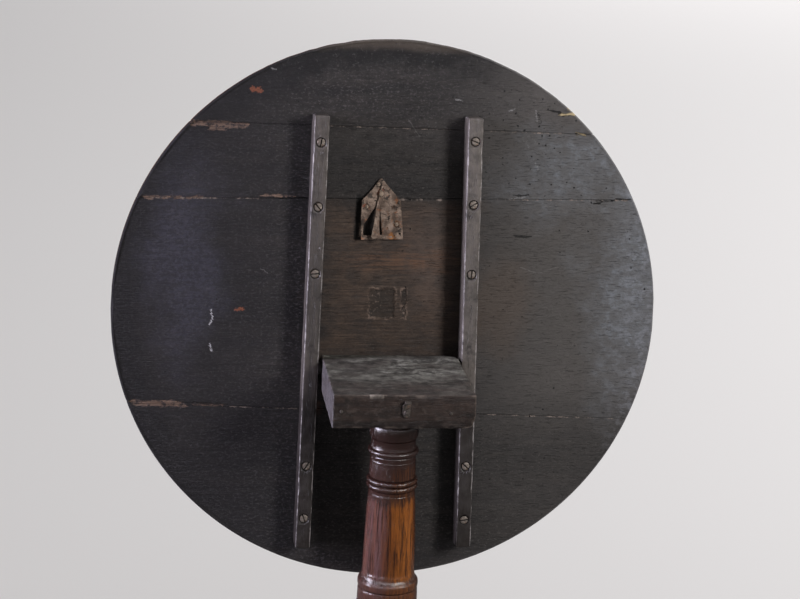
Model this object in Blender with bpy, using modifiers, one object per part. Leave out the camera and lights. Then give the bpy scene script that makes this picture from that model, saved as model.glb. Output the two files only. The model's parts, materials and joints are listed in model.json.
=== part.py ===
"""Tilt top table: a round boarded oak top that swings up on a pivot block, over a pillar on three legs.

Metres, +Z up, floor at Z = 0. The top is modelled tilted up, leaning back on its stop, with its
underside towards -Y. X runs left to right across the top. The boards lie along X.
"""

from math import cos, pi, radians, sin

import bmesh
import bpy
from mathutils import Matrix, Vector

# Whole table
TABLE_HEIGHT = 0.711
TOP_DIAMETER = 0.787
TOP_THICKNESS = 0.020
ACROSS_GRAIN_SHRINKAGE = 0.992
REST_LEAN = radians(6)
GAP = 0.0003

# Pivot: its axis runs along X, this far below the top's underside when the top is level
PIVOT_TO_TOP = 0.019
PIVOT_X = 0.0045
PIVOT_Z = TABLE_HEIGHT - TOP_THICKNESS - PIVOT_TO_TOP
PIN_RADIUS = 0.009
PIN_CLEARANCE = 0.0004

# Pivot block
BLOCK_WIDTH = 0.198
BLOCK_HEIGHT = 0.049
BLOCK_FRONT = 0.182
BLOCK_TURN_RADIUS = PIVOT_TO_TOP - GAP
BLOCK_BOTTOM = BLOCK_TURN_RADIUS - BLOCK_HEIGHT
BLOCK_EDGE = 0.0015

# Feet and legs
FOOT_CIRCLE = 0.300
FOOT_RADIUS = 0.034
FOOT_HEIGHT = 0.016
LEG_DIRECTIONS = {"leg_front": -90, "leg_right": 30, "leg_left": 150}
LEG_BASE = 0.125
LEG_ROOT_HEIGHT = 0.095
KEY_HEIGHT = 0.085
KEY_DEPTH = 0.014
KEY_NECK = 0.016
KEY_TAIL = 0.022

# Pillar: it stands under the middle of the block
PILLAR_Y = FOOT_CIRCLE / 4
PIVOT_Y = PILLAR_Y + 0.0833
TENON_RADIUS = 0.019
TENON_LENGTH = 0.034
LEG_BLOCK_RADIUS = 0.045
LEG_BLOCK_TOP = 0.248

# Top: distances along it are measured from the pivot, towards the edge that is up at rest
DISC_U = -PIVOT_X
DISC_V = 0.079
TOP_EDGE_CHAMFER = 0.0025
SEAMS = {
    "upper": (0.3445, -0.0148),
    "middle": (0.2430, 0.0090),
    "lower": (-0.0665, -0.0290),
}

# Bearers: each runs along the line u = offset + slope * v
BEARER_WIDTH = 0.022
BEARER_DEPTH = 2 * PIVOT_TO_TOP
BEARER_ENDS = (-0.262, 0.363)
BEARER_CHAMFER = 0.0025
BEARERS = {"left": (-0.1149, 0.0218), "right": (0.1123, -0.0050)}
BEARER_SCREWS = {
    "left": (0.325, 0.234, 0.139, -0.140, -0.217),
    "right": (0.330, 0.240, 0.140, -0.140, -0.220),
}
SCREW_HEAD_RADIUS = 0.006
SCREW_HEAD_DEPTH = 0.0035
SCREW_SHANK_RADIUS = 0.0026
SCREW_BITE = 0.013
SCREW_SLOT_SHARE = 0.09

# Catch on the underside, and its keeper on the front of the block
PLATE_THICKNESS = 0.003
PLATE_FOOT = 0.1845
PLATE_SHOULDER = 0.241
PLATE_APEX = 0.272
PLATE_LEFT = -0.0455
PLATE_RIGHT = 0.0155
RIVET = (-0.0175, 0.2505)
RIVET_RADIUS = 0.002
CATCH_SCREWS = {"top": (-0.0215, 0.2635), "left": (-0.0380, 0.2315), "right": (0.0058, 0.2066)}
CATCH_NAIL = (0.0085, 0.2375)
PLATE_WINDOW = [(-0.0195, 0.2400), (-0.0420, 0.2040), (-0.0420, 0.1900), (-0.0140, 0.1900)]
EMPTY_HOLES = {(0.0108, 0.1930): 0.0016, (-0.0052, 0.2172): 0.0010}
CATCH_SCREW_HOLE = 0.0016
CATCH_NAIL_HOLE = 0.0013
CATCH_HOLE_DEPTH = 0.012
RIVET_RECESS_RADIUS = 0.0036
RIVET_RECESS_DEPTH = 0.003
SMALL_HEAD_RADIUS = 0.0028
SMALL_HEAD_HEIGHT = 0.0016
SMALL_SLOT_HALF_WIDTH = 0.0004
LATCH_THICKNESS = 0.0024
LATCH_LIFT = 0.0080
LATCH_BEND = (0.238, 0.204)
LATCH_BEND_CUTS = (0.233, 0.228, 0.223, 0.219, 0.214, 0.209)
LATCH_TIP_U = -0.0008
LATCH_FOOT = 0.1865
KEEPER_X = 0.0025
KEEPER_WIDTH = 0.011
KEEPER_LIP_WIDTH = 0.008
KEEPER_LIP_TOP = 0.0105
KEEPER_SHOULDER = 0.006
KEEPER_FOOT_CENTRE = -0.007
KEEPER_LIP_THICKNESS = 0.0023
KEEPER_THICKNESS = 0.002
KEEPER_REACH = 0.0105
KEEPER_NAIL_Z = -0.0064
BLOCK_NAILS = {"left": (-0.0864, -0.0053), "right": (0.0644, -0.0075)}

# Shallow mark that an older catch has left in the underside
OLD_CATCH_RECESS = ((-0.0320, 0.0680), (0.0090, 0.1150), 0.0008)
OLD_CATCH_MORTISE = ((-0.0300, 0.0695), (0.0030, 0.0900), 0.0040)
OLD_CATCH_SLOT = ((0.0150, 0.0685), (0.0260, 0.1145), 0.0008)

# Spider plate under the pillar and the legs
SPIDER_THICKNESS = 0.0025
SPIDER_REACH = 0.088
SPIDER_ARM = 0.020
SPIDER_HUB = 0.026
SPIDER_NAIL_REACH = 0.074
SPIDER_NAIL_HOLE = 0.0018
SPIDER_NAIL_DEPTH = 0.018

DISC_STEPS = 80
PILLAR_STEPS = 20
SMALL_STEPS = 12
PIN_STEPS = 32
PAD_STEPS = 20
LEG_SEAT_STEPS = 56

OAK_DARK = (0.035, 0.028, 0.025)
OAK_BROWN = (0.090, 0.045, 0.025)
OAK_POLISHED = (0.170, 0.060, 0.022)
IRON_RUSTY = (0.115, 0.080, 0.060)
IRON_DARK = (0.055, 0.050, 0.048)


# Scene, materials and placing


def empty_scene():
    for obj in list(bpy.data.objects):
        bpy.data.objects.remove(obj, do_unlink=True)


def new_collection(name):
    collection = bpy.data.collections.new(name)
    bpy.context.scene.collection.children.link(collection)
    return collection


empty_scene()
TABLE = new_collection("tilt_top_table")
CUTTERS = new_collection("cutters")


def material(name, colour, roughness, metallic=0.0):
    made = bpy.data.materials.new(name)
    made.use_nodes = True
    shader = made.node_tree.nodes["Principled BSDF"]
    shader.inputs["Base Color"].default_value = (*colour, 1)
    shader.inputs["Roughness"].default_value = roughness
    shader.inputs["Metallic"].default_value = metallic
    return made


def frame_empty(name, location, rotation=(0, 0, 0), parent=None):
    empty = bpy.data.objects.new(name, None)
    empty.location = location
    empty.rotation_euler = rotation
    empty.parent = parent
    TABLE.objects.link(empty)
    return empty


def mesh_object(name, bm, parent=None, collection=TABLE):
    mesh = bpy.data.meshes.new(name)
    bm.to_mesh(mesh)
    bm.free()
    obj = bpy.data.objects.new(name, mesh)
    obj.parent = parent
    collection.objects.link(obj)
    return obj


def finish(obj, colour, roughness, metallic=0.0, smooth=False):
    """Gives a sub-part its own material, and smooth shading if it is round."""
    obj.data.materials.append(material(obj.name, colour, roughness, metallic))
    if smooth:
        obj.data.shade_smooth()
    return obj


def as_cutter(obj):
    for collection in list(obj.users_collection):
        collection.objects.unlink(obj)
    CUTTERS.objects.link(obj)
    obj.hide_render = True
    obj.display_type = "WIRE"
    return obj


# Shapes


def box(name, low, high, parent=None, turn=None):
    """An upright box between two corners, turned about Z if asked."""
    bm = bmesh.new()
    size = Vector(high) - Vector(low)
    middle = (Vector(high) + Vector(low)) / 2
    matrix = Matrix.Translation(middle) @ Matrix.Diagonal((*size, 1))
    if turn is not None:
        matrix = turn @ matrix
    bmesh.ops.create_cube(bm, size=1, matrix=matrix)
    return mesh_object(name, bm, parent)


def cylinders(name, placed, parent=None, steps=SMALL_STEPS):
    """Upright cones and cylinders as one mesh, each (x, y, low z, high z, low radius, high radius)."""
    bm = bmesh.new()
    for x, y, low, high, low_radius, high_radius in placed:
        bmesh.ops.create_cone(
            bm,
            cap_ends=True,
            segments=steps,
            radius1=low_radius,
            radius2=high_radius,
            depth=high - low,
            matrix=Matrix.Translation((x, y, (low + high) / 2)),
        )
    return mesh_object(name, bm, parent)


def turned(name, profile, parent=None, steps=SMALL_STEPS, location=(0, 0, 0)):
    """A solid turned about Z from a profile of (radius, height) points, listed from the top down."""
    bm = bmesh.new()
    points = [bm.verts.new((radius, 0, height)) for radius, height in profile]
    for first, second in zip(points, points[1:]):
        bm.edges.new((first, second))
    obj = mesh_object(name, bm, parent)
    obj.location = location
    screw = obj.modifiers.new("Screw", "SCREW")
    screw.axis = "Z"
    screw.steps = steps
    screw.render_steps = steps
    screw.use_merge_vertices = True
    screw.merge_threshold = 0.00001
    screw.use_smooth_shade = True
    return obj


def evaluated_mesh(obj):
    bpy.context.view_layer.update()
    graph = bpy.context.evaluated_depsgraph_get()
    return bpy.data.meshes.new_from_object(obj.evaluated_get(graph))


def prism(name, loops, thickness, parent=None, matrix=None):
    """A flat outline, with any further loops as holes in it, as a slab centred on its own plane."""
    curve = bpy.data.curves.new(name, "CURVE")
    curve.dimensions = "2D"
    curve.fill_mode = "BOTH"
    curve.extrude = thickness / 2
    for loop in loops:
        spline = curve.splines.new("POLY")
        spline.points.add(len(loop) - 1)
        for point, (x, y) in zip(spline.points, loop):
            point.co = (x, y, 0, 1)
        spline.use_cyclic_u = True
    flat = bpy.data.objects.new(name, curve)
    TABLE.objects.link(flat)
    mesh = evaluated_mesh(flat)
    bpy.data.objects.remove(flat, do_unlink=True)
    bm = bmesh.new()
    bm.from_mesh(mesh)
    bpy.data.meshes.remove(mesh)
    bmesh.ops.remove_doubles(bm, verts=bm.verts, dist=0.00001)
    if matrix is not None:
        bmesh.ops.transform(bm, matrix=matrix, verts=bm.verts)
    bmesh.ops.recalc_face_normals(bm, faces=bm.faces)
    return mesh_object(name, bm, parent)


def arc(centre_x, centre_y, radius, start, end, steps):
    """Points on an arc, with its angles in degrees."""
    angles = [radians(start + (end - start) * i / steps) for i in range(steps + 1)]
    return [(centre_x + radius * cos(a), centre_y + radius * sin(a)) for a in angles]


def circle(x, y, radius, steps=SMALL_STEPS):
    return arc(x, y, radius, 0, 360, steps)[:-1]


def boolean(obj, other, operation="DIFFERENCE"):
    modifier = obj.modifiers.new(operation.title(), "BOOLEAN")
    modifier.operation = operation
    modifier.solver = "EXACT"
    modifier.object = as_cutter(other)
    return obj


def bevel(obj, width, segments=1, angle=40):
    modifier = obj.modifiers.new("Bevel", "BEVEL")
    modifier.width = width
    modifier.segments = segments
    modifier.limit_method = "ANGLE"
    modifier.angle_limit = radians(angle)
    return obj


# Reference frames

table_frame = frame_empty("table_frame", (PIVOT_X, PILLAR_Y, 0))
pivot_frame = frame_empty("pivot_frame", (PIVOT_X, PIVOT_Y, PIVOT_Z))
# In the top's frame x runs along the boards, y up the top at rest, and z out of its underside.
top_frame = frame_empty("top_frame", (PIVOT_X, PIVOT_Y, PIVOT_Z), (pi / 2 - REST_LEAN, 0, 0))
UNDERSIDE = -PIVOT_TO_TOP
UPPER_SIDE = UNDERSIDE - TOP_THICKNESS
BEARER_FACE = UNDERSIDE + BEARER_DEPTH


# Top boards


def disc_mesh():
    radius = TOP_DIAMETER / 2
    chamfer = TOP_EDGE_CHAMFER
    profile = [(0, UNDERSIDE), (radius - chamfer, UNDERSIDE), (radius, UNDERSIDE - chamfer)]
    profile += [(radius, UPPER_SIDE + 3 * chamfer), (radius - chamfer, UPPER_SIDE + chamfer)]
    profile += [(radius - 3 * chamfer, UPPER_SIDE), (0, UPPER_SIDE)]
    disc = turned("disc", profile, steps=DISC_STEPS)
    mesh = evaluated_mesh(disc)
    bpy.data.objects.remove(disc, do_unlink=True)
    return mesh


def cut_at_seam(bm, seam, keep_above):
    """Trims a board to one side of a seam, half a gap back from it, and closes the sawn edge."""
    height, slope = SEAMS[seam]
    side = 1 if keep_above else -1
    outward = Vector((slope, -1, 0)).normalized() * side
    point = Vector((0, height, 0)) - outward * GAP / 2
    geometry = bm.verts[:] + bm.edges[:] + bm.faces[:]
    cut = bmesh.ops.bisect_plane(
        bm,
        geom=geometry,
        dist=1e-7,
        plane_co=point,
        plane_no=outward,
        clear_outer=True,
    )
    edges = [item for item in cut["geom_cut"] if isinstance(item, bmesh.types.BMEdge)]
    bmesh.ops.holes_fill(bm, edges=edges)


def board(name, above, below, disc):
    """A board of the disc between two seams."""
    bm = bmesh.new()
    bm.from_mesh(disc)
    shrink = Matrix.Diagonal((1, ACROSS_GRAIN_SHRINKAGE, 1, 1))
    bmesh.ops.transform(bm, matrix=Matrix.Translation((DISC_U, DISC_V, 0)) @ shrink, verts=bm.verts)
    if below:
        cut_at_seam(bm, below, keep_above=True)
    if above:
        cut_at_seam(bm, above, keep_above=False)
    bmesh.ops.recalc_face_normals(bm, faces=bm.faces)
    return finish(mesh_object(name, bm, top_frame), OAK_DARK, 0.55)


def seam_height(seam, u):
    height, slope = SEAMS[seam]
    return height + slope * u


def board_at(u, v):
    """The board that a point of the top lies on."""
    if v > seam_height("upper", u):
        return "top_board_1"
    if v > seam_height("middle", u):
        return "top_board_2"
    if v > seam_height("lower", u):
        return "top_board_3"
    return "top_board_4"


def make_boards():
    disc = disc_mesh()
    boards = {
        "top_board_1": board("top_board_1", None, "upper", disc),
        "top_board_2": board("top_board_2", "upper", "middle", disc),
        "top_board_3": board("top_board_3", "middle", "lower", disc),
        "top_board_4": board("top_board_4", "lower", None, disc),
    }
    holes = {name: [] for name in boards}
    for side in BEARERS:
        for v in BEARER_SCREWS[side]:
            u = bearer_u(side, v)
            radius = SCREW_SHANK_RADIUS + GAP
            deep = UNDERSIDE - SCREW_BITE
            holes[board_at(u, v)].append((u, v, deep, 0, radius, radius))
    for u, v in CATCH_SCREWS.values():
        deep = UNDERSIDE - CATCH_HOLE_DEPTH
        holes[board_at(u, v)].append((u, v, deep, 0, CATCH_SCREW_HOLE, CATCH_SCREW_HOLE))
    u, v = CATCH_NAIL
    holes[board_at(u, v)].append((u, v, UNDERSIDE - CATCH_HOLE_DEPTH, 0, CATCH_NAIL_HOLE, CATCH_NAIL_HOLE))
    u, v = RIVET
    deep = UNDERSIDE - RIVET_RECESS_DEPTH
    holes[board_at(u, v)].append((u, v, deep, 0, RIVET_RECESS_RADIUS, RIVET_RECESS_RADIUS))
    for name, placed in holes.items():
        if placed:
            boolean(boards[name], cylinders(name + "_holes", placed, top_frame))
    for number, (low, high, depth) in enumerate((OLD_CATCH_RECESS, OLD_CATCH_MORTISE, OLD_CATCH_SLOT)):
        mark = box(f"old_catch_{number}", (*low, UNDERSIDE - depth), (*high, 0), top_frame)
        boolean(boards["top_board_3"], mark)


# Bearers and their screws


def bearer_u(side, v):
    offset, slope = BEARERS[side]
    return offset + slope * v


def bearer(side):
    offset, slope = BEARERS[side]
    lower, upper = BEARER_ENDS
    turn = Matrix.Translation((offset, 0, 0)) @ Matrix.Rotation(-slope, 4, "Z")
    low = (-BEARER_WIDTH / 2, lower, UNDERSIDE + GAP)
    high = (BEARER_WIDTH / 2, upper, BEARER_FACE)
    rail = box(f"bearer_{side}", low, high, top_frame, turn)
    bevel(rail, BEARER_CHAMFER)
    bore = PIN_RADIUS + PIN_CLEARANCE
    through = [(0, 0, -2 * BEARER_WIDTH, 2 * BEARER_WIDTH, bore, bore)]
    pin_hole = cylinders(f"pin_hole_{side}", through, top_frame, PIN_STEPS)
    pin_hole.rotation_euler = (0, pi / 2, 0)
    pin_hole.location = (offset, 0, 0)
    boolean(rail, pin_hole)
    shank = SCREW_SHANK_RADIUS + 2 * GAP
    head = SCREW_HEAD_RADIUS + 2 * GAP
    sink = BEARER_FACE - GAP - SCREW_HEAD_DEPTH
    spread = (head - shank) / SCREW_HEAD_DEPTH
    holes = []
    sinks = []
    for v in BEARER_SCREWS[side]:
        u = bearer_u(side, v)
        holes.append((u, v, UNDERSIDE - 0.01, sink + GAP, shank, shank))
        sinks.append((u, v, sink, BEARER_FACE + GAP, shank, head + spread * 2 * GAP))
    boolean(rail, cylinders(f"screw_holes_{side}", holes, top_frame))
    boolean(rail, cylinders(f"countersinks_{side}", sinks, top_frame))
    return finish(rail, OAK_DARK, 0.6)


def screw(name, u, v, slot_angle, face, length):
    """A countersunk wood screw driven in along -z, with its slot turned to an angle."""
    head = SCREW_HEAD_RADIUS
    shank = SCREW_SHANK_RADIUS
    depth = SCREW_HEAD_DEPTH
    end = face - length
    profile = [(0, face), (head, face), (shank, face - depth)]
    profile += [(shank, end + 2 * shank), (0, end)]
    made = turned(name, profile, top_frame, location=(u, v, 0))
    width = head * SCREW_SLOT_SHARE
    turn = Matrix.Rotation(radians(slot_angle), 4, "Z")
    low = (-2 * head, -width, face - depth * 0.4)
    high = (2 * head, width, face + depth)
    slot = box(name + "_slot", low, high, top_frame, turn)
    slot.location = (u, v, 0)
    boolean(made, slot)
    return finish(made, IRON_DARK, 0.5, 0.8, smooth=True)


def make_bearers():
    for side in BEARERS:
        bearer(side)
        for number, v in enumerate(BEARER_SCREWS[side], 1):
            slot_angle = 25 + 53 * number + (0 if side == "left" else 80)
            length = BEARER_DEPTH + SCREW_BITE - 0.001
            name = f"bearer_screw_{side}_{number}"
            screw(name, bearer_u(side, v), v, slot_angle, BEARER_FACE - GAP, length)


# Pivot block, with its pins in one piece


def pivot_block():
    radius = BLOCK_TURN_RADIUS
    back_foot = (radius + BLOCK_BOTTOM * sin(REST_LEAN)) / cos(REST_LEAN)
    side = [(-BLOCK_FRONT, BLOCK_BOTTOM), (back_foot, BLOCK_BOTTOM)]
    side += arc(0, 0, radius, -6, 90, 12)
    side += [(-BLOCK_FRONT, radius)]
    # The outline is drawn in the YZ plane, and its thickness runs along X.
    upright = Matrix(((0, 0, 1, 0), (1, 0, 0, 0), (0, 1, 0, 0), (0, 0, 0, 1)))
    block = prism("pivot_block", [side], BLOCK_WIDTH, pivot_frame, upright)
    bevel(block, BLOCK_EDGE)
    # The pins stop a little short of the bearers' outer faces.
    short = 0.0015
    left_end = BEARERS["left"][0] - BEARER_WIDTH / 2 + short
    right_end = BEARERS["right"][0] + BEARER_WIDTH / 2 - short
    pins = cylinders("pins", [(0, 0, left_end, right_end, PIN_RADIUS, PIN_RADIUS)], pivot_frame, PIN_STEPS)
    pins.rotation_euler = (0, pi / 2, 0)
    boolean(block, pins, "UNION")
    mortise_top = BLOCK_BOTTOM + TENON_LENGTH + 0.001
    radius = TENON_RADIUS + GAP
    mortise = cylinders(
        "pillar_mortise",
        [(0, PILLAR_Y - PIVOT_Y, BLOCK_BOTTOM - 0.01, mortise_top, radius, radius)],
        pivot_frame,
        steps=PILLAR_STEPS,
    )
    boolean(block, mortise)
    front_holes = [(x, -z, 0.0014, 0.016) for x, z in BLOCK_NAILS.values()]
    front_holes += [(KEEPER_X, -KEEPER_NAIL_Z, 0.0016, 0.022)]
    placed = [(x, y, BLOCK_FRONT - deep, BLOCK_FRONT + 0.01, r, r) for x, y, r, deep in front_holes]
    holes = cylinders("front_holes", placed, pivot_frame)
    # Turned so that its z points out of the front of the block, and its y points down.
    holes.rotation_euler = (pi / 2, 0, 0)
    holes.scale = (1, -1, 1)
    boolean(block, holes)
    return finish(block, OAK_BROWN, 0.6)


def nail(name, x, z, head, shank, length, parent, face, rotation):
    """A round-headed nail with its head standing on a face, pointing along its own -z."""
    profile = [(0, head * 0.55), (head * 0.6, head * 0.45), (head, head * 0.05), (head, 0)]
    profile += [(shank, 0), (shank, -length * 0.7), (0, -length)]
    made = turned(name, profile, parent, location=(x, face, z))
    made.rotation_euler = rotation
    return finish(made, IRON_DARK, 0.55, 0.8, smooth=True)


def make_block():
    pivot_block()
    facing_front = (pi / 2, 0, 0)
    for side, (x, z) in BLOCK_NAILS.items():
        face = -BLOCK_FRONT - GAP
        nail(f"block_nail_{side}", x, z, 0.0025, 0.0011, 0.014, pivot_frame, face, facing_front)
    keeper()
    face = -BLOCK_FRONT - 2 * GAP - KEEPER_THICKNESS
    nail("keeper_nail", KEEPER_X, KEEPER_NAIL_Z, 0.0042, 0.0013, 0.020, pivot_frame, face, facing_front)


def keeper():
    """An iron strap on the block's front with a lip at its top, which the latch's beak turns in under."""
    low_x = KEEPER_X - KEEPER_WIDTH / 2
    high_x = KEEPER_X + KEEPER_WIDTH / 2
    face = -BLOCK_FRONT - GAP
    lip_x = high_x - KEEPER_LIP_WIDTH
    outline = [(low_x, KEEPER_SHOULDER), (low_x, KEEPER_FOOT_CENTRE)]
    outline += arc(KEEPER_X, KEEPER_FOOT_CENTRE, KEEPER_WIDTH / 2, 180, 360, 8)[1:]
    outline += [(high_x, KEEPER_LIP_TOP), (lip_x, KEEPER_LIP_TOP), (lip_x, KEEPER_SHOULDER)]
    hole = circle(KEEPER_X, KEEPER_NAIL_Z, 0.0017)
    standing = Matrix.Translation((0, face - KEEPER_THICKNESS / 2, 0)) @ Matrix.Rotation(pi / 2, 4, "X")
    strap = prism("keeper", [outline, hole[::-1]], KEEPER_THICKNESS, pivot_frame, standing)
    lip = box(
        "keeper_lip",
        (lip_x, face - KEEPER_REACH, KEEPER_LIP_TOP - KEEPER_LIP_THICKNESS),
        (high_x, face - KEEPER_THICKNESS / 2, KEEPER_LIP_TOP),
        pivot_frame,
    )
    boolean(strap, lip, "UNION")
    return finish(strap, IRON_DARK, 0.55, 0.8)


# Catch on the underside


def catch_plate():
    peak_u = RIVET[0]
    outline = [(PLATE_RIGHT, PLATE_FOOT), (PLATE_RIGHT - 0.0045, PLATE_SHOULDER)]
    outline += [(peak_u + 0.003, PLATE_APEX - 0.003), (peak_u, PLATE_APEX)]
    outline += [(peak_u - 0.003, PLATE_APEX - 0.002)]
    outline += [(PLATE_LEFT, PLATE_SHOULDER), (PLATE_LEFT, PLATE_FOOT)]
    holes = [circle(u, v, CATCH_SCREW_HOLE)[::-1] for u, v in CATCH_SCREWS.values()]
    holes.append(circle(*CATCH_NAIL, CATCH_NAIL_HOLE)[::-1])
    holes.append(circle(*RIVET, RIVET_RADIUS + GAP)[::-1])
    holes += [circle(u, v, radius)[::-1] for (u, v), radius in EMPTY_HOLES.items()]
    lie = Matrix.Translation((0, 0, UNDERSIDE + GAP + PLATE_THICKNESS / 2))
    plate = prism("catch_plate", [outline, PLATE_WINDOW, *holes], PLATE_THICKNESS, top_frame, lie)
    return finish(plate, IRON_RUSTY, 0.65, 0.6)


def latch_rise(v):
    """How far the latch bar has bent away from the plate at a distance v along the top."""
    start, end = LATCH_BEND
    share = min(max((start - v) / (start - end), 0), 1)
    return LATCH_LIFT * share * share * (3 - 2 * share)


def latch_bar():
    """A tapered bar that turns on the rivet, with a tail above it and a beak along its foot."""
    u, v = RIVET
    foot_left = -0.0312
    outline = [(LATCH_TIP_U, LATCH_FOOT + 0.001), (LATCH_TIP_U, LATCH_FOOT + 0.0045)]
    outline += [(-0.0195, LATCH_FOOT + 0.006), (-0.0198, 0.205), (u - 0.0012, 0.238)]
    outline += arc(u, v, 0.0048, -60, 75, 6)
    outline += [(u + 0.0030, v + 0.011), (u + 0.0002, v + 0.0115), (u - 0.0008, v + 0.0055)]
    outline += arc(u, v, 0.0048, 120, 235, 6)
    outline += [(u - 0.0052, 0.238), (-0.0285, 0.205), (foot_left, LATCH_FOOT + 0.003)]
    outline += [(foot_left + 0.002, LATCH_FOOT)]
    hole = circle(u, v, RIVET_RADIUS + GAP)[::-1]
    base = UNDERSIDE + PLATE_THICKNESS + 2 * GAP + LATCH_THICKNESS / 2
    flat = prism("flat_latch", [outline, hole], LATCH_THICKNESS)
    bm = bmesh.new()
    bm.from_mesh(flat.data)
    bpy.data.objects.remove(flat, do_unlink=True)
    for cut in LATCH_BEND_CUTS:
        geometry = bm.verts[:] + bm.edges[:] + bm.faces[:]
        bmesh.ops.bisect_plane(bm, geom=geometry, dist=1e-7, plane_co=(0, cut, 0), plane_no=(0, 1, 0))
    for vert in bm.verts:
        vert.co.z += base + latch_rise(vert.co.y)
        vert.co.x -= u
        vert.co.y -= v
    latch_axis = frame_empty("latch_axis", (u, v, 0), parent=top_frame)
    return finish(mesh_object("latch_bar", bm, latch_axis), IRON_RUSTY, 0.6, 0.6)


def catch_rivet():
    """The rivet: a domed head over the latch, and its end spread under the plate in the board's recess."""
    head = UNDERSIDE + PLATE_THICKNESS + LATCH_THICKNESS + 3 * GAP
    under = UNDERSIDE
    profile = [(0, head + 0.0022), (0.0022, head + 0.0018), (0.0038, head + 0.0004), (0.0038, head)]
    profile += [(RIVET_RADIUS, head), (RIVET_RADIUS, under), (0.0032, under - 0.0004)]
    profile += [(0.0030, under - 0.0018), (0, under - 0.0020)]
    made = turned("catch_rivet", profile, top_frame, location=(*RIVET, 0))
    return finish(made, IRON_RUSTY, 0.5, 0.7, smooth=True)


def catch_fixings():
    face = UNDERSIDE + PLATE_THICKNESS + 2 * GAP
    height = SMALL_HEAD_HEIGHT
    head = SMALL_HEAD_RADIUS
    for number, (place, (u, v)) in enumerate(CATCH_SCREWS.items()):
        profile = [(0, face + height), (head * 0.7, face + height * 0.8), (head, face + 0.0003), (head, face)]
        profile += [(0.0013, face), (0.0013, face - 0.009), (0, face - 0.013)]
        made = turned(f"catch_screw_{place}", profile, top_frame, location=(u, v, 0))
        turn = Matrix.Rotation(radians(35 + 60 * number), 4, "Z")
        low = (-2 * head, -SMALL_SLOT_HALF_WIDTH, face + height * 0.45)
        high = (2 * head, SMALL_SLOT_HALF_WIDTH, face + 2 * height)
        slot = box(f"catch_slot_{place}", low, high, top_frame, turn)
        slot.location = (u, v, 0)
        boolean(made, slot)
        finish(made, IRON_RUSTY, 0.55, 0.7, smooth=True)
    u, v = CATCH_NAIL
    profile = [(0, face + 0.0011), (0.0016, face + 0.0008), (0.0021, face), (0.0010, face)]
    profile += [(0.0010, face - 0.008), (0, face - 0.011)]
    made = turned("catch_nail", profile, top_frame, location=(u, v, 0))
    finish(made, IRON_RUSTY, 0.6, 0.7, smooth=True)


# Pillar


def bead(radius, bulge, top, bottom, steps=6):
    """A half-round moulding standing out from a radius, between two heights."""
    middle = (top + bottom) / 2
    half = (top - bottom) / 2
    angles = [pi * i / steps for i in range(steps + 1)]
    return [(radius + bulge * sin(a), middle + half * cos(a)) for a in angles]


def cove(radius_top, radius_bottom, dip, top, bottom, steps=5):
    """A hollow between two heights, from one radius to another."""
    shares = [i / steps for i in range(1, steps)]
    points = []
    for share in shares:
        radius = radius_top + (radius_bottom - radius_top) * share - dip * sin(pi * share)
        points.append((radius, top + (bottom - top) * share))
    return points


def pillar_profile():
    """Heights of the turning are measured from the pivot, which is how far below it each moulding lies."""
    seat = BLOCK_BOTTOM - GAP
    rows = [(0, seat + TENON_LENGTH), (TENON_RADIUS, seat + TENON_LENGTH), (TENON_RADIUS, seat)]
    rows += [(0.036, seat), (0.036, seat - 0.008)]
    rows += cove(0.036, 0.0325, 0.003, seat - 0.008, -0.052)
    rows += bead(0.0325, 0.0022, -0.053, -0.074)
    rows += cove(0.0325, 0.0325, 0.0012, -0.074, -0.089, 4)
    rows += bead(0.0325, 0.0034, -0.089, -0.098)
    rows += [(0.0328, -0.100), (0.0330, -0.131)]
    rows += bead(0.0335, 0.0028, -0.133, -0.1405, 4)
    rows += bead(0.0335, 0.0028, -0.141, -0.149, 4)
    rows += [(0.0332, -0.153)]
    top, bottom = -0.157, -0.276
    for share in (0, 0.25, 0.5, 0.75, 1):
        rows.append((0.0333 + 0.0042 * share, top + (bottom - top) * share))
    rows += cove(0.0378, 0.0420, 0.0010, -0.278, -0.288, 4)
    rows += bead(0.0420, 0.0014, -0.288, -0.299, 4)
    rows += [(0.0422, -0.301)]
    return [(radius, PIVOT_Z + height) for radius, height in rows]


def pillar_base_profile():
    """The swelling above the legs, and the plain block that the legs are keyed into, from the floor up."""
    rows = [(0.0432, 0.366), (0.0432, 0.352), (0.0460, 0.340)]
    rows += [(0.0505, 0.322), (0.0505, 0.306), (0.0450, 0.288), (0.0375, 0.276)]
    rows += bead(0.0370, 0.0060, 0.273, 0.262, 5)
    rows += [(0.0370, 0.258), (LEG_BLOCK_RADIUS - 0.002, LEG_BLOCK_TOP + 0.002)]
    rows += [(LEG_BLOCK_RADIUS, LEG_BLOCK_TOP), (LEG_BLOCK_RADIUS, LEG_BASE + 0.001)]
    rows += [(LEG_BLOCK_RADIUS - 0.001, LEG_BASE), (0, LEG_BASE)]
    return rows


def key_outline(clearance):
    """The dovetail on a leg's inner end, seen from above with the leg running along +x."""
    outer = LEG_BLOCK_RADIUS + 0.004
    inner = LEG_BLOCK_RADIUS - KEY_DEPTH - clearance
    neck = KEY_NECK / 2 + clearance
    tail = KEY_TAIL / 2 + clearance
    front = [(outer, -neck), (outer, neck)]
    back = [(LEG_BLOCK_RADIUS, neck), (inner, tail), (inner, -tail), (LEG_BLOCK_RADIUS, -neck)]
    return front + back


def leg_turn(degrees):
    return Matrix.Rotation(radians(degrees), 4, "Z")


def spider_nail_hole(name, reach, parent):
    deep = LEG_BASE + SPIDER_NAIL_DEPTH
    placed = (reach, 0, LEG_BASE - 0.01, deep, SPIDER_NAIL_HOLE, SPIDER_NAIL_HOLE)
    return cylinders(name, [placed], parent)


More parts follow.
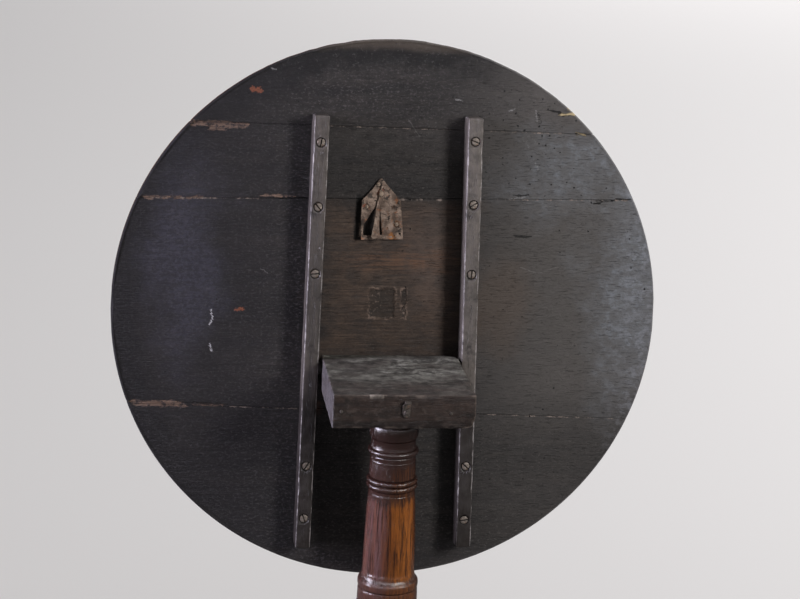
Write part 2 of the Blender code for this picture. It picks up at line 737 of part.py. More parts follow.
def pillar():
    made = turned("pillar", pillar_profile() + pillar_base_profile(), table_frame, steps=PILLAR_STEPS)
    for name, degrees in LEG_DIRECTIONS.items():
        height = KEY_HEIGHT + 0.02
        middle = LEG_BASE + KEY_HEIGHT + GAP - height / 2
        matrix = leg_turn(degrees) @ Matrix.Translation((0, 0, middle))
        boolean(made, prism(name + "_slot", [key_outline(GAP)], height, table_frame, matrix))
    boolean(made, spider_nail_hole("pillar_nail_hole", 0, table_frame))
    return finish(made, OAK_POLISHED, 0.35, smooth=True)


# Legs


def leg_sections():
    """Cross sections out along the leg: reach from the pillar's axis, top, bottom and thickness."""
    root_top = LEG_BASE + LEG_ROOT_HEIGHT
    return [
        (LEG_BLOCK_RADIUS - 0.020, root_top, LEG_BASE - 0.006, 0.042),
        (LEG_BLOCK_RADIUS + 0.012, root_top + 0.002, LEG_BASE - 0.006, 0.042),
        (0.098, root_top, LEG_BASE - 0.004, 0.040),
        (0.142, root_top - 0.022, LEG_BASE + 0.006, 0.037),
        (0.186, 0.156, 0.093, 0.034),
        (0.222, 0.106, 0.060, 0.031),
        (0.248, 0.066, 0.032, 0.030),
        (0.276, 0.040, 0.012, 0.034),
        (0.306, 0.030, 0.004, 0.038),
    ]


def leg_cage():
    """A coarse cage along +x, four corners to each section, which Subdivision rounds into a cabriole leg."""
    bm = bmesh.new()
    sections = leg_sections()
    rings = []
    for number, (reach, top, bottom, thickness) in enumerate(sections):
        before = sections[max(number - 1, 0)]
        after = sections[min(number + 1, len(sections) - 1)]
        run = Vector((after[0] - before[0], (after[1] + after[2] - before[1] - before[2]) / 2))
        slant = run.y / run.length
        half = (top - bottom) / 2
        middle = (top + bottom) / 2
        # Each section leans with the leg, square to its run.
        lean = half * slant
        corners = [(reach - lean, 1, middle + half), (reach + lean, 1, middle - half)]
        corners += [(reach + lean, -1, middle - half), (reach - lean, -1, middle + half)]
        rings.append([bm.verts.new((x, side * thickness / 2, z)) for x, side, z in corners])
    for first, second in zip(rings, rings[1:]):
        for i in range(4):
            j = (i + 1) % 4
            bm.faces.new((first[i], first[j], second[j], second[i]))
    bm.faces.new(rings[0][::-1])
    bm.faces.new(rings[-1])
    bmesh.ops.recalc_face_normals(bm, faces=bm.faces)
    return bm


def leg(name, degrees):
    turn_frame = frame_empty(name + "_direction", (0, 0, 0), (0, 0, radians(degrees)), table_frame)
    made = mesh_object(name, leg_cage(), turn_frame)
    smooth = made.modifiers.new("Subdivision", "SUBSURF")
    smooth.levels = 2
    smooth.render_levels = 2
    shares = [(0, 1), (0.72, 1), (0.95, 0.75), (1, 0.5), (0.97, 0.25), (0.88, 0), (0, 0)]
    pad_profile = [(FOOT_RADIUS * out, FOOT_HEIGHT * up) for out, up in shares]
    pad = turned(name + "_pad", pad_profile, turn_frame, PAD_STEPS, (FOOT_CIRCLE, 0, 0))
    boolean(made, pad, "UNION")
    under = box(name + "_floor", (-0.1, -0.1, -0.1), (0.6, 0.1, 0), turn_frame)
    boolean(made, under)
    seat_end = SPIDER_REACH + 0.004
    seat = box(name + "_seat", (0, -0.05, LEG_BASE - 0.03), (seat_end, 0.05, LEG_BASE), turn_frame)
    boolean(made, seat)
    hollow = LEG_BLOCK_RADIUS + GAP
    round_seat = cylinders(name + "_round", [(0, 0, 0, 0.4, hollow, hollow)], turn_frame, LEG_SEAT_STEPS)
    boolean(made, round_seat)
    middle = LEG_BASE + KEY_HEIGHT / 2
    key = prism(name + "_key", [key_outline(0)], KEY_HEIGHT, turn_frame, Matrix.Translation((0, 0, middle)))
    boolean(made, key, "UNION")
    boolean(made, spider_nail_hole(name + "_nail_hole", SPIDER_NAIL_REACH, turn_frame))
    return finish(made, OAK_POLISHED, 0.4, smooth=True)


# Spider plate and its nails


def spider_plate():
    """A three-armed iron plate that ties the legs to the foot of the pillar."""
    half = SPIDER_ARM / 2
    end = SPIDER_REACH - half
    tip = [(SPIDER_HUB, -half), (end, -half)]
    tip += arc(end, 0, half, -90, 90, 6)[1:-1]
    tip += [(end, half), (SPIDER_HUB, half)]
    outline = []
    holes = [circle(0, 0, SPIDER_NAIL_HOLE)[::-1]]
    for degrees in LEG_DIRECTIONS.values():
        turn = leg_turn(degrees)
        outline += [(turn @ Vector((x, y, 0)))[:2] for x, y in tip]
        x, y = (turn @ Vector((SPIDER_NAIL_REACH, 0, 0)))[:2]
        holes.append(circle(x, y, SPIDER_NAIL_HOLE)[::-1])
    lie = Matrix.Translation((0, 0, LEG_BASE - GAP - SPIDER_THICKNESS / 2))
    plate = prism("spider_plate", [outline, *holes], SPIDER_THICKNESS, table_frame, lie)
    return finish(plate, IRON_DARK, 0.6, 0.8)


def spider_nails():
    face = LEG_BASE - 2 * GAP - SPIDER_THICKNESS
    places = {"centre": Vector((0, 0, 0))}
    for name, degrees in LEG_DIRECTIONS.items():
        places[name.replace("leg_", "")] = leg_turn(degrees) @ Vector((SPIDER_NAIL_REACH, 0, 0))
    for place, spot in places.items():
        profile = [(0, 0.0022), (0.0030, 0.0016), (0.0046, 0), (0.0014, 0)]
        profile += [(0.0014, -0.012), (0, -SPIDER_NAIL_DEPTH)]
        made = turned(f"spider_nail_{place}", profile, table_frame, location=(spot.x, spot.y, face))
        made.rotation_euler = (pi, 0, 0)
        finish(made, IRON_DARK, 0.6, 0.8, smooth=True)


make_boards()
make_bearers()
make_block()
catch_plate()
latch_bar()
catch_rivet()
catch_fixings()
pillar()
for leg_name, leg_degrees in LEG_DIRECTIONS.items():
    leg(leg_name, leg_degrees)
spider_plate()
spider_nails()
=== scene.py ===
"""Looks of the tilt top table: smoke-darkened boards and bearers, a polished pillar and legs, rusty iron.

Every piece is made here at full detail in the place of its CAD node, and takes its size from the frame.
The top's pieces are modelled in its own frame: x along the boards, y up the top, z out of the underside.
"""

import json
from math import asin, atan2, cos, pi, radians, sin, sqrt

import bmesh
import bpy
import numpy as np
from mathutils import Matrix, Vector, noise


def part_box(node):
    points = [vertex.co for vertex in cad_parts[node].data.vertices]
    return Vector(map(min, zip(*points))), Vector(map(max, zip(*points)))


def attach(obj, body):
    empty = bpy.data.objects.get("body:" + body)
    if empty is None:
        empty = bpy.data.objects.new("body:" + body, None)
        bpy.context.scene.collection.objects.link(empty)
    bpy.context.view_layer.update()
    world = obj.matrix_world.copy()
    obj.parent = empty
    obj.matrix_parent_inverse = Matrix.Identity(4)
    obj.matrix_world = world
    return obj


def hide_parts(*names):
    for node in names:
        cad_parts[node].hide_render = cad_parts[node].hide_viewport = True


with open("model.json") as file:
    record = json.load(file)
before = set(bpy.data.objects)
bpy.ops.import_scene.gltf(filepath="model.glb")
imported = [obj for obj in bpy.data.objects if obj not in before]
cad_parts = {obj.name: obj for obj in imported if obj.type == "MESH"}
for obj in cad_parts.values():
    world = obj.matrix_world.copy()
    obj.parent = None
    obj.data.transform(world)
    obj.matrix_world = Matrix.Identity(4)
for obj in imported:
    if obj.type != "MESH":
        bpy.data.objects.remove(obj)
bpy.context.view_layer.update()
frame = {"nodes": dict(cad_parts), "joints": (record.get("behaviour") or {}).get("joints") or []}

# Reference frames, from the joints and from the CAD nodes

JOINTS = {joint["name"]: joint for joint in frame["joints"]}
PIVOT = Vector(JOINTS["top_tilt"]["pos_m"])
REST_LEAN = asin(JOINTS["latch_turn"]["axis"][2])
TOP = Matrix.Translation(PIVOT) @ Matrix.Rotation(pi / 2 - REST_LEAN, 4, "X")
PILLAR_LOW, PILLAR_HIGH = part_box("pillar")
PILLAR_X = (PILLAR_LOW.x + PILLAR_HIGH.x) / 2
PILLAR_Y = (PILLAR_LOW.y + PILLAR_HIGH.y) / 2
PILLAR = Matrix.Translation((PILLAR_X, PILLAR_Y, 0))
BLOCK = Matrix.Translation(PIVOT)


def points_in(node, place):
    """A CAD node's points in another frame."""
    inverse = place.inverted()
    return np.array([inverse @ vert.co for vert in frame["nodes"][node].data.vertices])


def node_centre(node):
    """The middle of a CAD node in the top's frame, with its highest z."""
    points = points_in(node, TOP)
    middle = (points.min(0) + points.max(0)) / 2
    return Vector((middle[0], middle[1], points[:, 2].max()))


BOARD_POINTS = [points_in(f"top_board_{number}", TOP) for number in (1, 2, 3, 4)]
TOP_POINTS = np.vstack(BOARD_POINTS)
DISC_LOW = TOP_POINTS.min(0)
DISC_HIGH = TOP_POINTS.max(0)
DISC_U, DISC_V = (DISC_LOW[:2] + DISC_HIGH[:2]) / 2
DISC_RADIUS = (DISC_HIGH[0] - DISC_LOW[0]) / 2
SHRINK = (DISC_HIGH[1] - DISC_LOW[1]) / (DISC_HIGH[0] - DISC_LOW[0])
UPPER_SIDE, UNDERSIDE = DISC_LOW[2], DISC_HIGH[2]


def seam_line(points):
    """A seam as (offset, slope), with v = offset + slope * u, from a board that is widest at it."""
    left = points[points[:, 0].argmin()]
    right = points[points[:, 0].argmax()]
    slope = (right[1] - left[1]) / (right[0] - left[0])
    return left[1] - slope * left[0], slope


UPPER_SEAM = seam_line(BOARD_POINTS[0])
MIDDLE_SEAM = seam_line(BOARD_POINTS[1])
LOWER_SEAM = seam_line(BOARD_POINTS[3])


def beside(seam, *rows):
    """Strokes along a seam: each row has a start, end, width, softness, and the rise at either end."""
    def at(u, above):
        return (u, seam[0] + seam[1] * u + above)

    return [(at(start, rise), at(end, fall), width, soft) for start, end, width, soft, rise, fall in rows]


def rail_line(node):
    """A bearer's middle as (offset, slope, low end, high end): u = offset + slope * v."""
    points = points_in(node, TOP)
    low, high = points[:, 1].min(), points[:, 1].max()
    middles = []
    for end in (low, high):
        near = points[abs(points[:, 1] - end) < 0.004]
        middles.append((near[:, 0].min() + near[:, 0].max()) / 2)
    slope = (middles[1] - middles[0]) / (high - low)
    return middles[0] - slope * low, slope, low, high


RAILS = {"left": rail_line("bearer_left"), "right": rail_line("bearer_right")}
RAIL_FACE = points_in("bearer_left", TOP)[:, 2].max()
RAIL_WIDTH = 0.022
RIVET = node_centre("catch_rivet")
PLATE_POINTS = points_in("catch_plate", TOP)
PLATE_LOW, PLATE_HIGH = PLATE_POINTS.min(0), PLATE_POINTS.max(0)
CATCH_SCREWS = {place: node_centre(f"catch_screw_{place}") for place in ("top", "left", "right")}
CATCH_NAIL = node_centre("catch_nail")


# Node building


class Shader:
    """One material's nodes, around a Principled BSDF, with a running colour that tints are laid over."""

    def __init__(self, name):
        self.material = bpy.data.materials.new(name)
        self.material.use_nodes = True
        self.tree = self.material.node_tree
        self.surface = self.tree.nodes["Principled BSDF"]
        self.here = self.node("ShaderNodeTexCoord").outputs["Object"]
        self.colour = None

    def node(self, kind, **settings):
        made = self.tree.nodes.new(kind)
        for name, value in settings.items():
            setattr(made, name, value)
        return made

    def put(self, socket, value):
        """Links a socket to another's output, or sets it to a plain value."""
        if isinstance(value, bpy.types.NodeSocket):
            self.tree.links.new(value, socket)
        elif isinstance(value, tuple) and socket.type == "RGBA":
            socket.default_value = (*value[:3], 1)
        else:
            socket.default_value = value

    def math(self, operation, first, second=0.0, clamp=False):
        made = self.node("ShaderNodeMath", operation=operation, use_clamp=clamp)
        self.put(made.inputs[0], first)
        self.put(made.inputs[1], second)
        return made.outputs[0]

    def add(self, first, second, clamp=False):
        return self.math("ADD", first, second, clamp)

    def less(self, first, second):
        return self.math("SUBTRACT", first, second)

    def both(self, *masks):
        """The product of several masks."""
        found = masks[0]
        for mask in masks[1:]:
            found = self.math("MULTIPLY", found, mask)
        return found

    def either(self, *masks):
        """The largest of several masks."""
        found = masks[0]
        for mask in masks[1:]:
            found = self.math("MAXIMUM", found, mask)
        return found

    def vector(self, operation, first, second=(0, 0, 0), output="Vector"):
        made = self.node("ShaderNodeVectorMath", operation=operation)
        self.put(made.inputs[0], first)
        self.put(made.inputs["Scale" if operation == "SCALE" else 1], second)
        return made.outputs[output]

    def length(self, where):
        return self.vector("LENGTH", where, output="Value")

    def noise(self, where, scale, detail=3.0, rough=0.5, distortion=0.0, output=0):
        """Noise with a scale for each axis or one for all, in features per metre."""
        made = self.node("ShaderNodeTexNoise")
        scale = scale if isinstance(scale, tuple) else (scale,) * 3
        self.put(made.inputs["Vector"], self.vector("MULTIPLY", where, scale))
        plain = {"Scale": 1.0, "Detail": detail, "Roughness": rough, "Distortion": distortion}
        for name, value in plain.items():
            made.inputs[name].default_value = value
        return made.outputs[output]

    def spread(self, value, low, high, to_low=0.0, to_high=1.0, smooth=True):
        made = self.node("ShaderNodeMapRange", interpolation_type="SMOOTHSTEP" if smooth else "LINEAR")
        for name, found in zip(("Value", "From Min", "From Max", "To Min", "To Max"),
                               (value, low, high, to_low, to_high)):
            self.put(made.inputs[name], found)
        return made.outputs[0]

    def ease(self, mask, low, high=1.0):
        """A mask that keeps at least a share of what it is laid over."""
        return self.spread(mask, 0, 1, low, high)

    def cloud(self, where, scale, detail, rough, low, high, distortion=0.0):
        """A mask of noise between two of its levels."""
        return self.spread(self.noise(where, scale, detail, rough, distortion), low, high)

    def waver(self, where, scale, detail, rough, amount):
        """Noise about zero."""
        return self.both(self.less(self.noise(where, scale, detail, rough), 0.5), amount)

    def mix(self, share, first, second):
        made = self.node("ShaderNodeMix", data_type="RGBA", blend_type="MIX")
        self.put(made.inputs[0], share)
        self.put(made.inputs[6], first)
        self.put(made.inputs[7], second)
        return made.outputs[2]

    def tint(self, mask, colour, share=None):
        """Lays a colour over the running one, as far as the mask and the share say."""
        self.colour = self.mix(mask if share is None else self.both(mask, share), self.colour, colour)

    def attribute(self, name):
        return self.node("ShaderNodeAttribute", attribute_name=name).outputs["Fac"]

    def axis(self, where, axis):
        made = self.node("ShaderNodeSeparateXYZ")
        self.put(made.inputs[0], where)
        return made.outputs[axis]

    def flat(self, where):
        return self.vector("MULTIPLY", where, (1, 1, 0))

    def from_disc(self, where):
        """A place measured from the top's middle, with the top's shrinkage across the grain undone."""
        centred = self.vector("SUBTRACT", where, (DISC_U, DISC_V, 0))
        return self.vector("MULTIPLY", centred, (1, 1 / SHRINK, 0))

    def ragged(self, where, scale, amount):
        """A place shifted by noise in the plane, so that what is drawn there has a torn edge."""
        shift = self.noise(where, (*scale, 1) if len(scale) == 2 else scale, 4, 0.65, output=1)
        centred = self.vector("SUBTRACT", shift, (0.5, 0.5, 0.5))
        amount = (*amount, 0) if len(amount) == 2 else amount
        return self.vector("ADD", where, self.vector("MULTIPLY", centred, amount))

    def stroke(self, where, start, end, width, soft):
        """A mask round the straight line between two points of the top."""
        along = Vector((*end, 0)) - Vector((*start, 0))
        offset = self.vector("SUBTRACT", where, (*start, 0))
        share = self.vector("DOT_PRODUCT", offset, tuple(along / along.length_squared), output="Value")
        share = self.math("MAXIMUM", self.math("MINIMUM", share, 1.0), 0.0)
        foot = self.vector("SCALE", tuple(along), share)
        gap = self.length(self.vector("SUBTRACT", offset, foot))
        return self.spread(gap, width, width + soft, 1.0, 0.0)

    def strokes(self, where, *rows):
        """A mask round several lines, from rows of start, end, width and softness."""
        return self.either(*(self.stroke(where, *row) for row in rows))

    def blotch(self, where, centre, radii, soft=0.6):
        """A mask over an ellipse of the top, fading over a share of its radius."""
        offset = self.vector("SUBTRACT", where, (*centre, 0))
        scaled = self.vector("MULTIPLY", offset, (1 / radii[0], 1 / radii[1], 0))
        return self.spread(self.length(scaled), 1 - soft, 1 + soft, 1.0, 0.0)

    def panel(self, where, low, high, soft):
        """A mask over a rectangle of the top."""
        middle = ((low[0] + high[0]) / 2, (low[1] + high[1]) / 2, 0)
        offset = self.vector("ABSOLUTE", self.vector("SUBTRACT", where, middle))
        across, upward = (self.less(self.axis(offset, k), (high[k] - low[k]) / 2) for k in (0, 1))
        return self.spread(self.math("MAXIMUM", across, upward), -soft, soft, 1.0, 0.0)

    def bump(self, height, distance, strength=1.0, below=None):
        made = self.node("ShaderNodeBump")
        made.inputs["Strength"].default_value = strength
        made.inputs["Distance"].default_value = distance
        self.put(made.inputs["Height"], height)
        if below is not None:
            self.put(made.inputs["Normal"], below)
        return made.outputs[0]

    def done(self, roughness, normal, **plain):
        """Connects the running colour, the roughness and the relief, and sets what is the same all over."""
        self.put(self.surface.inputs["Base Color"], self.colour)
        self.put(self.surface.inputs["Roughness"], roughness)
        self.put(self.surface.inputs["Normal"], normal)
        for name, value in plain.items():
            self.put(self.surface.inputs[name.replace("_", " ")], value)
        return self.material


# Materials

# Near-black for painted shadow and painted shade.
SHADE_BLACK = (0.0035, 0.003, 0.003)


class Oak:
    """Oak's grain, with its length along one axis: slow streaks, fibres and short open pores."""

    def __init__(self, s, where, along="X", tight=1.0):
        order = "XYZ".index(along)

        def lay(length, width):
            scale = [width * tight] * 3
            scale[order] = length
            return tuple(scale)

        bent = s.ragged(where, lay(3, 9), (0.01,) * 3)
        self.broad = s.cloud(bent, lay(2, 11), 4, 0.55, 0.34, 0.66)
        self.streaks = s.cloud(bent, lay(4, 75), 6, 0.62, 0.32, 0.68, 0.4)
        self.fibres = s.cloud(bent, lay(22, 640), 5, 0.68, 0.3, 0.7)
        self.pores = s.cloud(bent, lay(70, 1150), 2, 0.5, 0.6, 0.72)

    def relief(self, s, streaks, fibres, pores=1.0):
        """The height of worn grain: its streaks and fibres stand up and its pores are sunk."""
        sunk = self.pores if pores == 1.0 else s.both(self.pores, pores)
        return s.less(s.add(s.both(self.streaks, streaks), s.both(self.fibres, fibres)), sunk)


def iron(name, base, light, dark, roughness=0.62, metallic=0.55, pits=0.0006, rusty=0.5, stains=()):
    """Old wrought iron: brown scale, rubbed brighter on high spots, black in its pits, with rust stains."""
    s = Shader(name)
    coarse = s.cloud(s.here, 90, 5, 0.62, 0.33, 0.68)
    fine = s.cloud(s.here, 520, 5, 0.7, 0.35, 0.68)
    specks = s.cloud(s.here, 260, 3, 0.55, 0.6, 0.7)
    s.colour = s.mix(coarse, base, light)
    s.tint(fine, base, 0.5)
    s.tint(specks, dark, 0.85)
    s.tint(s.cloud(s.here, 110, 6, 0.7, 0.54, 0.66, 0.5), (0.2, 0.072, 0.026), rusty)
    s.tint(s.cloud(s.here, 75, 6, 0.7, 0.56, 0.64, 0.9), dark, rusty)
    for centre, radius, stain in stains:
        edge = s.ragged(s.flat(s.here), (240, 240), (0.01, 0.01))
        s.tint(s.blotch(edge, centre, (radius, radius), 0.5), stain, 0.8)
    scaly = s.add(s.both(coarse, 0.6), s.both(fine, 0.4))
    relief = s.less(s.add(s.both(coarse, 0.6), s.both(fine, 0.35)), specks)
    rough = s.ease(scaly, roughness + 0.15, roughness - 0.12)
    return s.done(rough, s.bump(relief, pits, 0.9), Metallic=metallic)


def board_underside():
    """Dry, smoke-blackened oak, browner between the bearers, with its splits, torn seams and worm holes."""
    s = Shader("smoked_oak")
    here = s.flat(s.here)
    across, upward = s.axis(here, 0), s.axis(here, 1)
    torn = s.ragged(here, (75, 190), (0.034, 0.011))
    frayed = s.ragged(here, (240, 420), (0.01, 0.005))
    oak = Oak(s, s.here)

    def cloud(u_scale, v_scale, *rest):
        return s.cloud(here, (u_scale, v_scale, 1), *rest)

    def patch(scale, amount, *rest):
        return s.blotch(s.ragged(here, scale, amount), *rest)

    # Smoke-black wood: warm where it is rubbed, with small dark stains and paler scuffs all over
    s.colour = s.mix(oak.broad, (0.0125, 0.0112, 0.0118), (0.027, 0.0235, 0.0235))
    s.tint(oak.streaks, (0.04, 0.0335, 0.03), 0.42)
    mottle = cloud(70, 95, 6, 0.68, 0.34, 0.66)
    s.tint(mottle, (0.007, 0.0063, 0.0065), 0.52)
    scuffs = cloud(200, 330, 5, 0.72, 0.52, 0.66)
    s.tint(scuffs, (0.072, 0.064, 0.063), 0.72)
    pits = cloud(300, 420, 4, 0.6, 0.6, 0.68)
    s.tint(pits, (0.0045, 0.004, 0.004), 0.78)
    s.tint(cloud(560, 640, 3, 0.6, 0.63, 0.7), (0.125, 0.115, 0.115), 0.45)
    s.tint(cloud(9, 13, 5, 0.62, 0.5, 0.68), (0.01, 0.009, 0.01), 0.45)

    # Painted light to the right, weaker below the lower seam, and a darker, crumbly band near the rim at the
    # upper left
    above_seam = s.spread(upward, LOWER_SEAM[0] - 0.06, LOWER_SEAM[0] + 0.06, 0.35, 1.0)
    s.tint(s.both(s.spread(across, 0.02, 0.26), above_seam), (0.079, 0.072, 0.069), 0.66)
    from_middle = s.from_disc(here)
    radius = s.length(from_middle)
    upper_left = s.spread(s.vector("DOT_PRODUCT", from_middle, (-1.0, 0.75, 0), output="Value"), 0.02, 0.22)
    near_rim = s.add(radius, s.waver(here, (30, 30, 1), 6, 0.7, 0.09))
    dark_rim_band = s.both(s.spread(near_rim, DISC_RADIUS - 0.055, DISC_RADIUS - 0.02), upper_left)
    s.tint(dark_rim_band, (0.005, 0.0045, 0.0048), 0.88)
    crumbly = cloud(180, 210, 6, 0.75, 0.55, 0.66, 0.6)
    s.tint(s.both(dark_rim_band, crumbly), (0.07, 0.064, 0.064), 0.55)
    # Painted shade toward the left.
    leftward = s.spread(across, -0.05, -0.25)
    s.tint(leftward, (0.008, 0.0068, 0.0085), 0.72)

    # Bluish bloom and painted sheen down the right side, with a little at the left, and a painted highlight
    # on the chamfer
    speckled = cloud(120, 150, 6, 0.74, 0.4, 0.6, 0.5)
    patches = cloud(26, 30, 5, 0.6, 0.32, 0.66, 0.8)
    bloom_and_sheen_place = s.ragged(here, (9, 9), (0.17, 0.17))
    bloom_and_sheen = s.blotch(bloom_and_sheen_place, (0.365, 0.135), (0.062, 0.15), 0.85)
    bloom_and_sheen = s.either(bloom_and_sheen, s.both(s.blotch(bloom_and_sheen_place, (0.27, 0.285), (0.09, 0.05), 0.8), 0.75))
    powder_and_sheen = cloud(60, 75, 7, 0.78, 0.34, 0.68, 0.3)
    bloom_and_sheen = s.both(s.both(bloom_and_sheen, s.ease(speckled, 0.75)), s.ease(s.both(powder_and_sheen, patches), 0.4))
    s.tint(bloom_and_sheen, (0.15, 0.163, 0.19), 0.92)
    # Painted sheen along the right edge.
    s.tint(s.both(s.spread(across, 0.3, 0.385), s.spread(powder_and_sheen, 0.35, 0.85)), (0.15, 0.15, 0.17), 0.5)
    chamfer = s.spread(radius, DISC_RADIUS - 0.0036, DISC_RADIUS - 0.0022)
    # A painted highlight along the rim's chamfer, fading out toward the left.
    chamfer_highlight = s.both(chamfer, s.ease(crumbly, 0.35), s.spread(across, -0.2, 0.1))
    s.tint(chamfer_highlight, (0.15, 0.142, 0.15), 0.6)
    # At the left, a bluish haze that is partly painted sheen.
    haze_and_sheen = s.both(s.blotch(bloom_and_sheen_place, (-0.29, 0.16), (0.05, 0.13)), s.ease(speckled, 0.5))
    s.tint(haze_and_sheen, (0.056, 0.055, 0.084), 0.34)

    # Browner, less smoked wood that the bearers and the block have sheltered
    shelter = s.panel(s.ragged(here, (10, 26), (0.12, 0.05)), (-0.098, 0.012), (0.112, 0.236), 0.028)
    below_seam = s.spread(upward, MIDDLE_SEAM[0] - 0.004, MIDDLE_SEAM[0], 1.0, 0.0)
    shelter = s.both(shelter, below_seam, s.ease(patches, 0.55))
    grainy = cloud(16, 300, 6, 0.7, 0.36, 0.66)
    outside = s.colour
    s.colour = s.mix(grainy, (0.04, 0.027, 0.021), (0.086, 0.057, 0.042))
    s.tint(mottle, (0.033, 0.024, 0.02), 0.4)
    s.tint(crumbly, (0.125, 0.09, 0.07), 0.45)
    pinkish = patch((16, 16), (0.05, 0.05), (0.055, 0.16), (0.032, 0.07), 0.7)
    s.tint(pinkish, (0.105, 0.074, 0.062), 0.55)
    s.colour = s.mix(s.both(shelter, 0.85), outside, s.colour)

    # Painted shade inside the catch's window and painted shadow along the plate's left edge and foot, and
    # warmer and redder places
    s.tint(patch((40, 40), (0.03, 0.03), (-0.033, 0.203), (0.01, 0.022), 0.5), (0.004, 0.0035, 0.0035), 0.85)
    plate_shadow = s.strokes(
        frayed,
        ((-0.048, 0.245), (-0.0515, 0.186), 0.0022, 0.003),
        ((-0.05, 0.185), (0.013, 0.1855), 0.0006, 0.0026),
    )
    s.tint(plate_shadow, SHADE_BLACK, 0.88)
    glow = patch((18, 60), (0.16, 0.05), (0.02, 0.152), (0.075, 0.014))
    s.tint(s.both(glow, shelter, s.ease(grainy, 0.1, 0.9)), (0.11, 0.058, 0.036))
    s.tint(patch((16, 16), (0.1, 0.1), (0.16, 0.09), (0.045, 0.06)), (0.075, 0.052, 0.038), 0.4)
    s.tint(patch((10, 10), (0.2, 0.03), (-0.02, 0.463), (0.17, 0.008), 0.8), (0.085, 0.066, 0.052), 0.5)
    s.tint(s.blotch(torn, (-0.105, -0.062), (0.01, 0.01)), (0.09, 0.042, 0.028), 0.5)

    # Raw wood torn out along the seams, and painted shade in the hollows beside it
    tears = s.strokes(
        torn,
        *beside(UPPER_SEAM,
                (-0.285, -0.21, 0.003, 0.0024, -0.003, -0.004),
                (-0.262, -0.24, 0.0022, 0.0024, -0.009, -0.009),
                (-0.33, -0.296, 0.0012, 0.002, 0.001, 0.000)),
        *beside(MIDDLE_SEAM,
                (-0.352, -0.27, 0.0012, 0.0018, 0.000, 0.000),
                (-0.185, -0.14, 0.0007, 0.002, 0.003, 0.002)),
        *beside(LOWER_SEAM,
                (-0.365, -0.295, 0.003, 0.0026, 0.000, 0.000),
                (-0.28, -0.235, 0.001, 0.002, 0.001, 0.001)),
    )
    raw = s.both(tears, s.ease(cloud(130, 150, 5, 0.7, 0.36, 0.58), 0.1))
    s.tint(raw, s.mix(oak.fibres, (0.06, 0.036, 0.028), (0.17, 0.115, 0.088)))
    shaded_hollows = s.strokes(
        torn,
        *beside(UPPER_SEAM, (-0.318, -0.296, 0.0014, 0.0016, -0.003, -0.003)),
        *beside(MIDDLE_SEAM, (-0.17, -0.122, 0.0009, 0.001, 0.000, 0.000)),
        *beside(LOWER_SEAM, (-0.3, -0.23, 0.0006, 0.0012, 0.003, 0.002)),
        ((0.228, 0.372), (0.246, 0.366), 0.001, 0.0014),
        ((0.29, 0.24), (0.345, 0.248), 0.0003, 0.0009),
    )
    s.tint(shaded_hollows, SHADE_BLACK, 0.9)

    # Pale splinters along the seams' lower lips, ochre chips near the rim, and two reddish knots
    lips = s.strokes(
        frayed,
        *beside(UPPER_SEAM,
                (-0.095, 0.09, 0.0002, 0.0008, -0.001, -0.001),
                (0.125, 0.25, 0.0004, 0.001, -0.001, -0.001)),
        *beside(MIDDLE_SEAM,
                (-0.35, -0.19, 0.0003, 0.0009, -0.001, -0.001),
                (0.005, 0.072, 0.0006, 0.0012, -0.0016, -0.0016),
                (0.13, 0.345, 0.0004, 0.0011, -0.001, -0.001)),
        *beside(LOWER_SEAM,
                (-0.23, -0.13, 0.0002, 0.0008, -0.001, -0.001),
                (0.125, 0.345, 0.0003, 0.0008, -0.001, -0.001)),
    )
    lips = s.both(lips, cloud(85, 9, 4, 0.7, 0.47, 0.62))
    s.tint(lips, (0.225, 0.182, 0.162), 0.88)
    chips = s.strokes(
        torn,
        ((0.24, 0.367), (0.258, 0.369), 0.0011, 0.0016),
        ((0.262, 0.341), (0.276, 0.338), 0.0007, 0.0016),
        ((0.25, 0.377), (0.256, 0.374), 0.0008, 0.0014),
    )
    s.tint(s.both(chips, s.ease(oak.fibres, 0.6)), (0.37, 0.29, 0.165))
    knots = s.strokes(
        s.ragged(here, (170, 170), (0.014, 0.014)),
        ((-0.203, 0.394), (-0.192, 0.394), 0.0024, 0.0022),
        ((-0.219, 0.081), (-0.212, 0.081), 0.0016, 0.002),
    )
    knots = s.both(knots, s.spread(s.noise(here, (420, 420, 1), 4, 0.7), 0.34, 0.5, 0.3, 1.0))
    s.tint(knots, (0.16, 0.05, 0.025), 0.85)

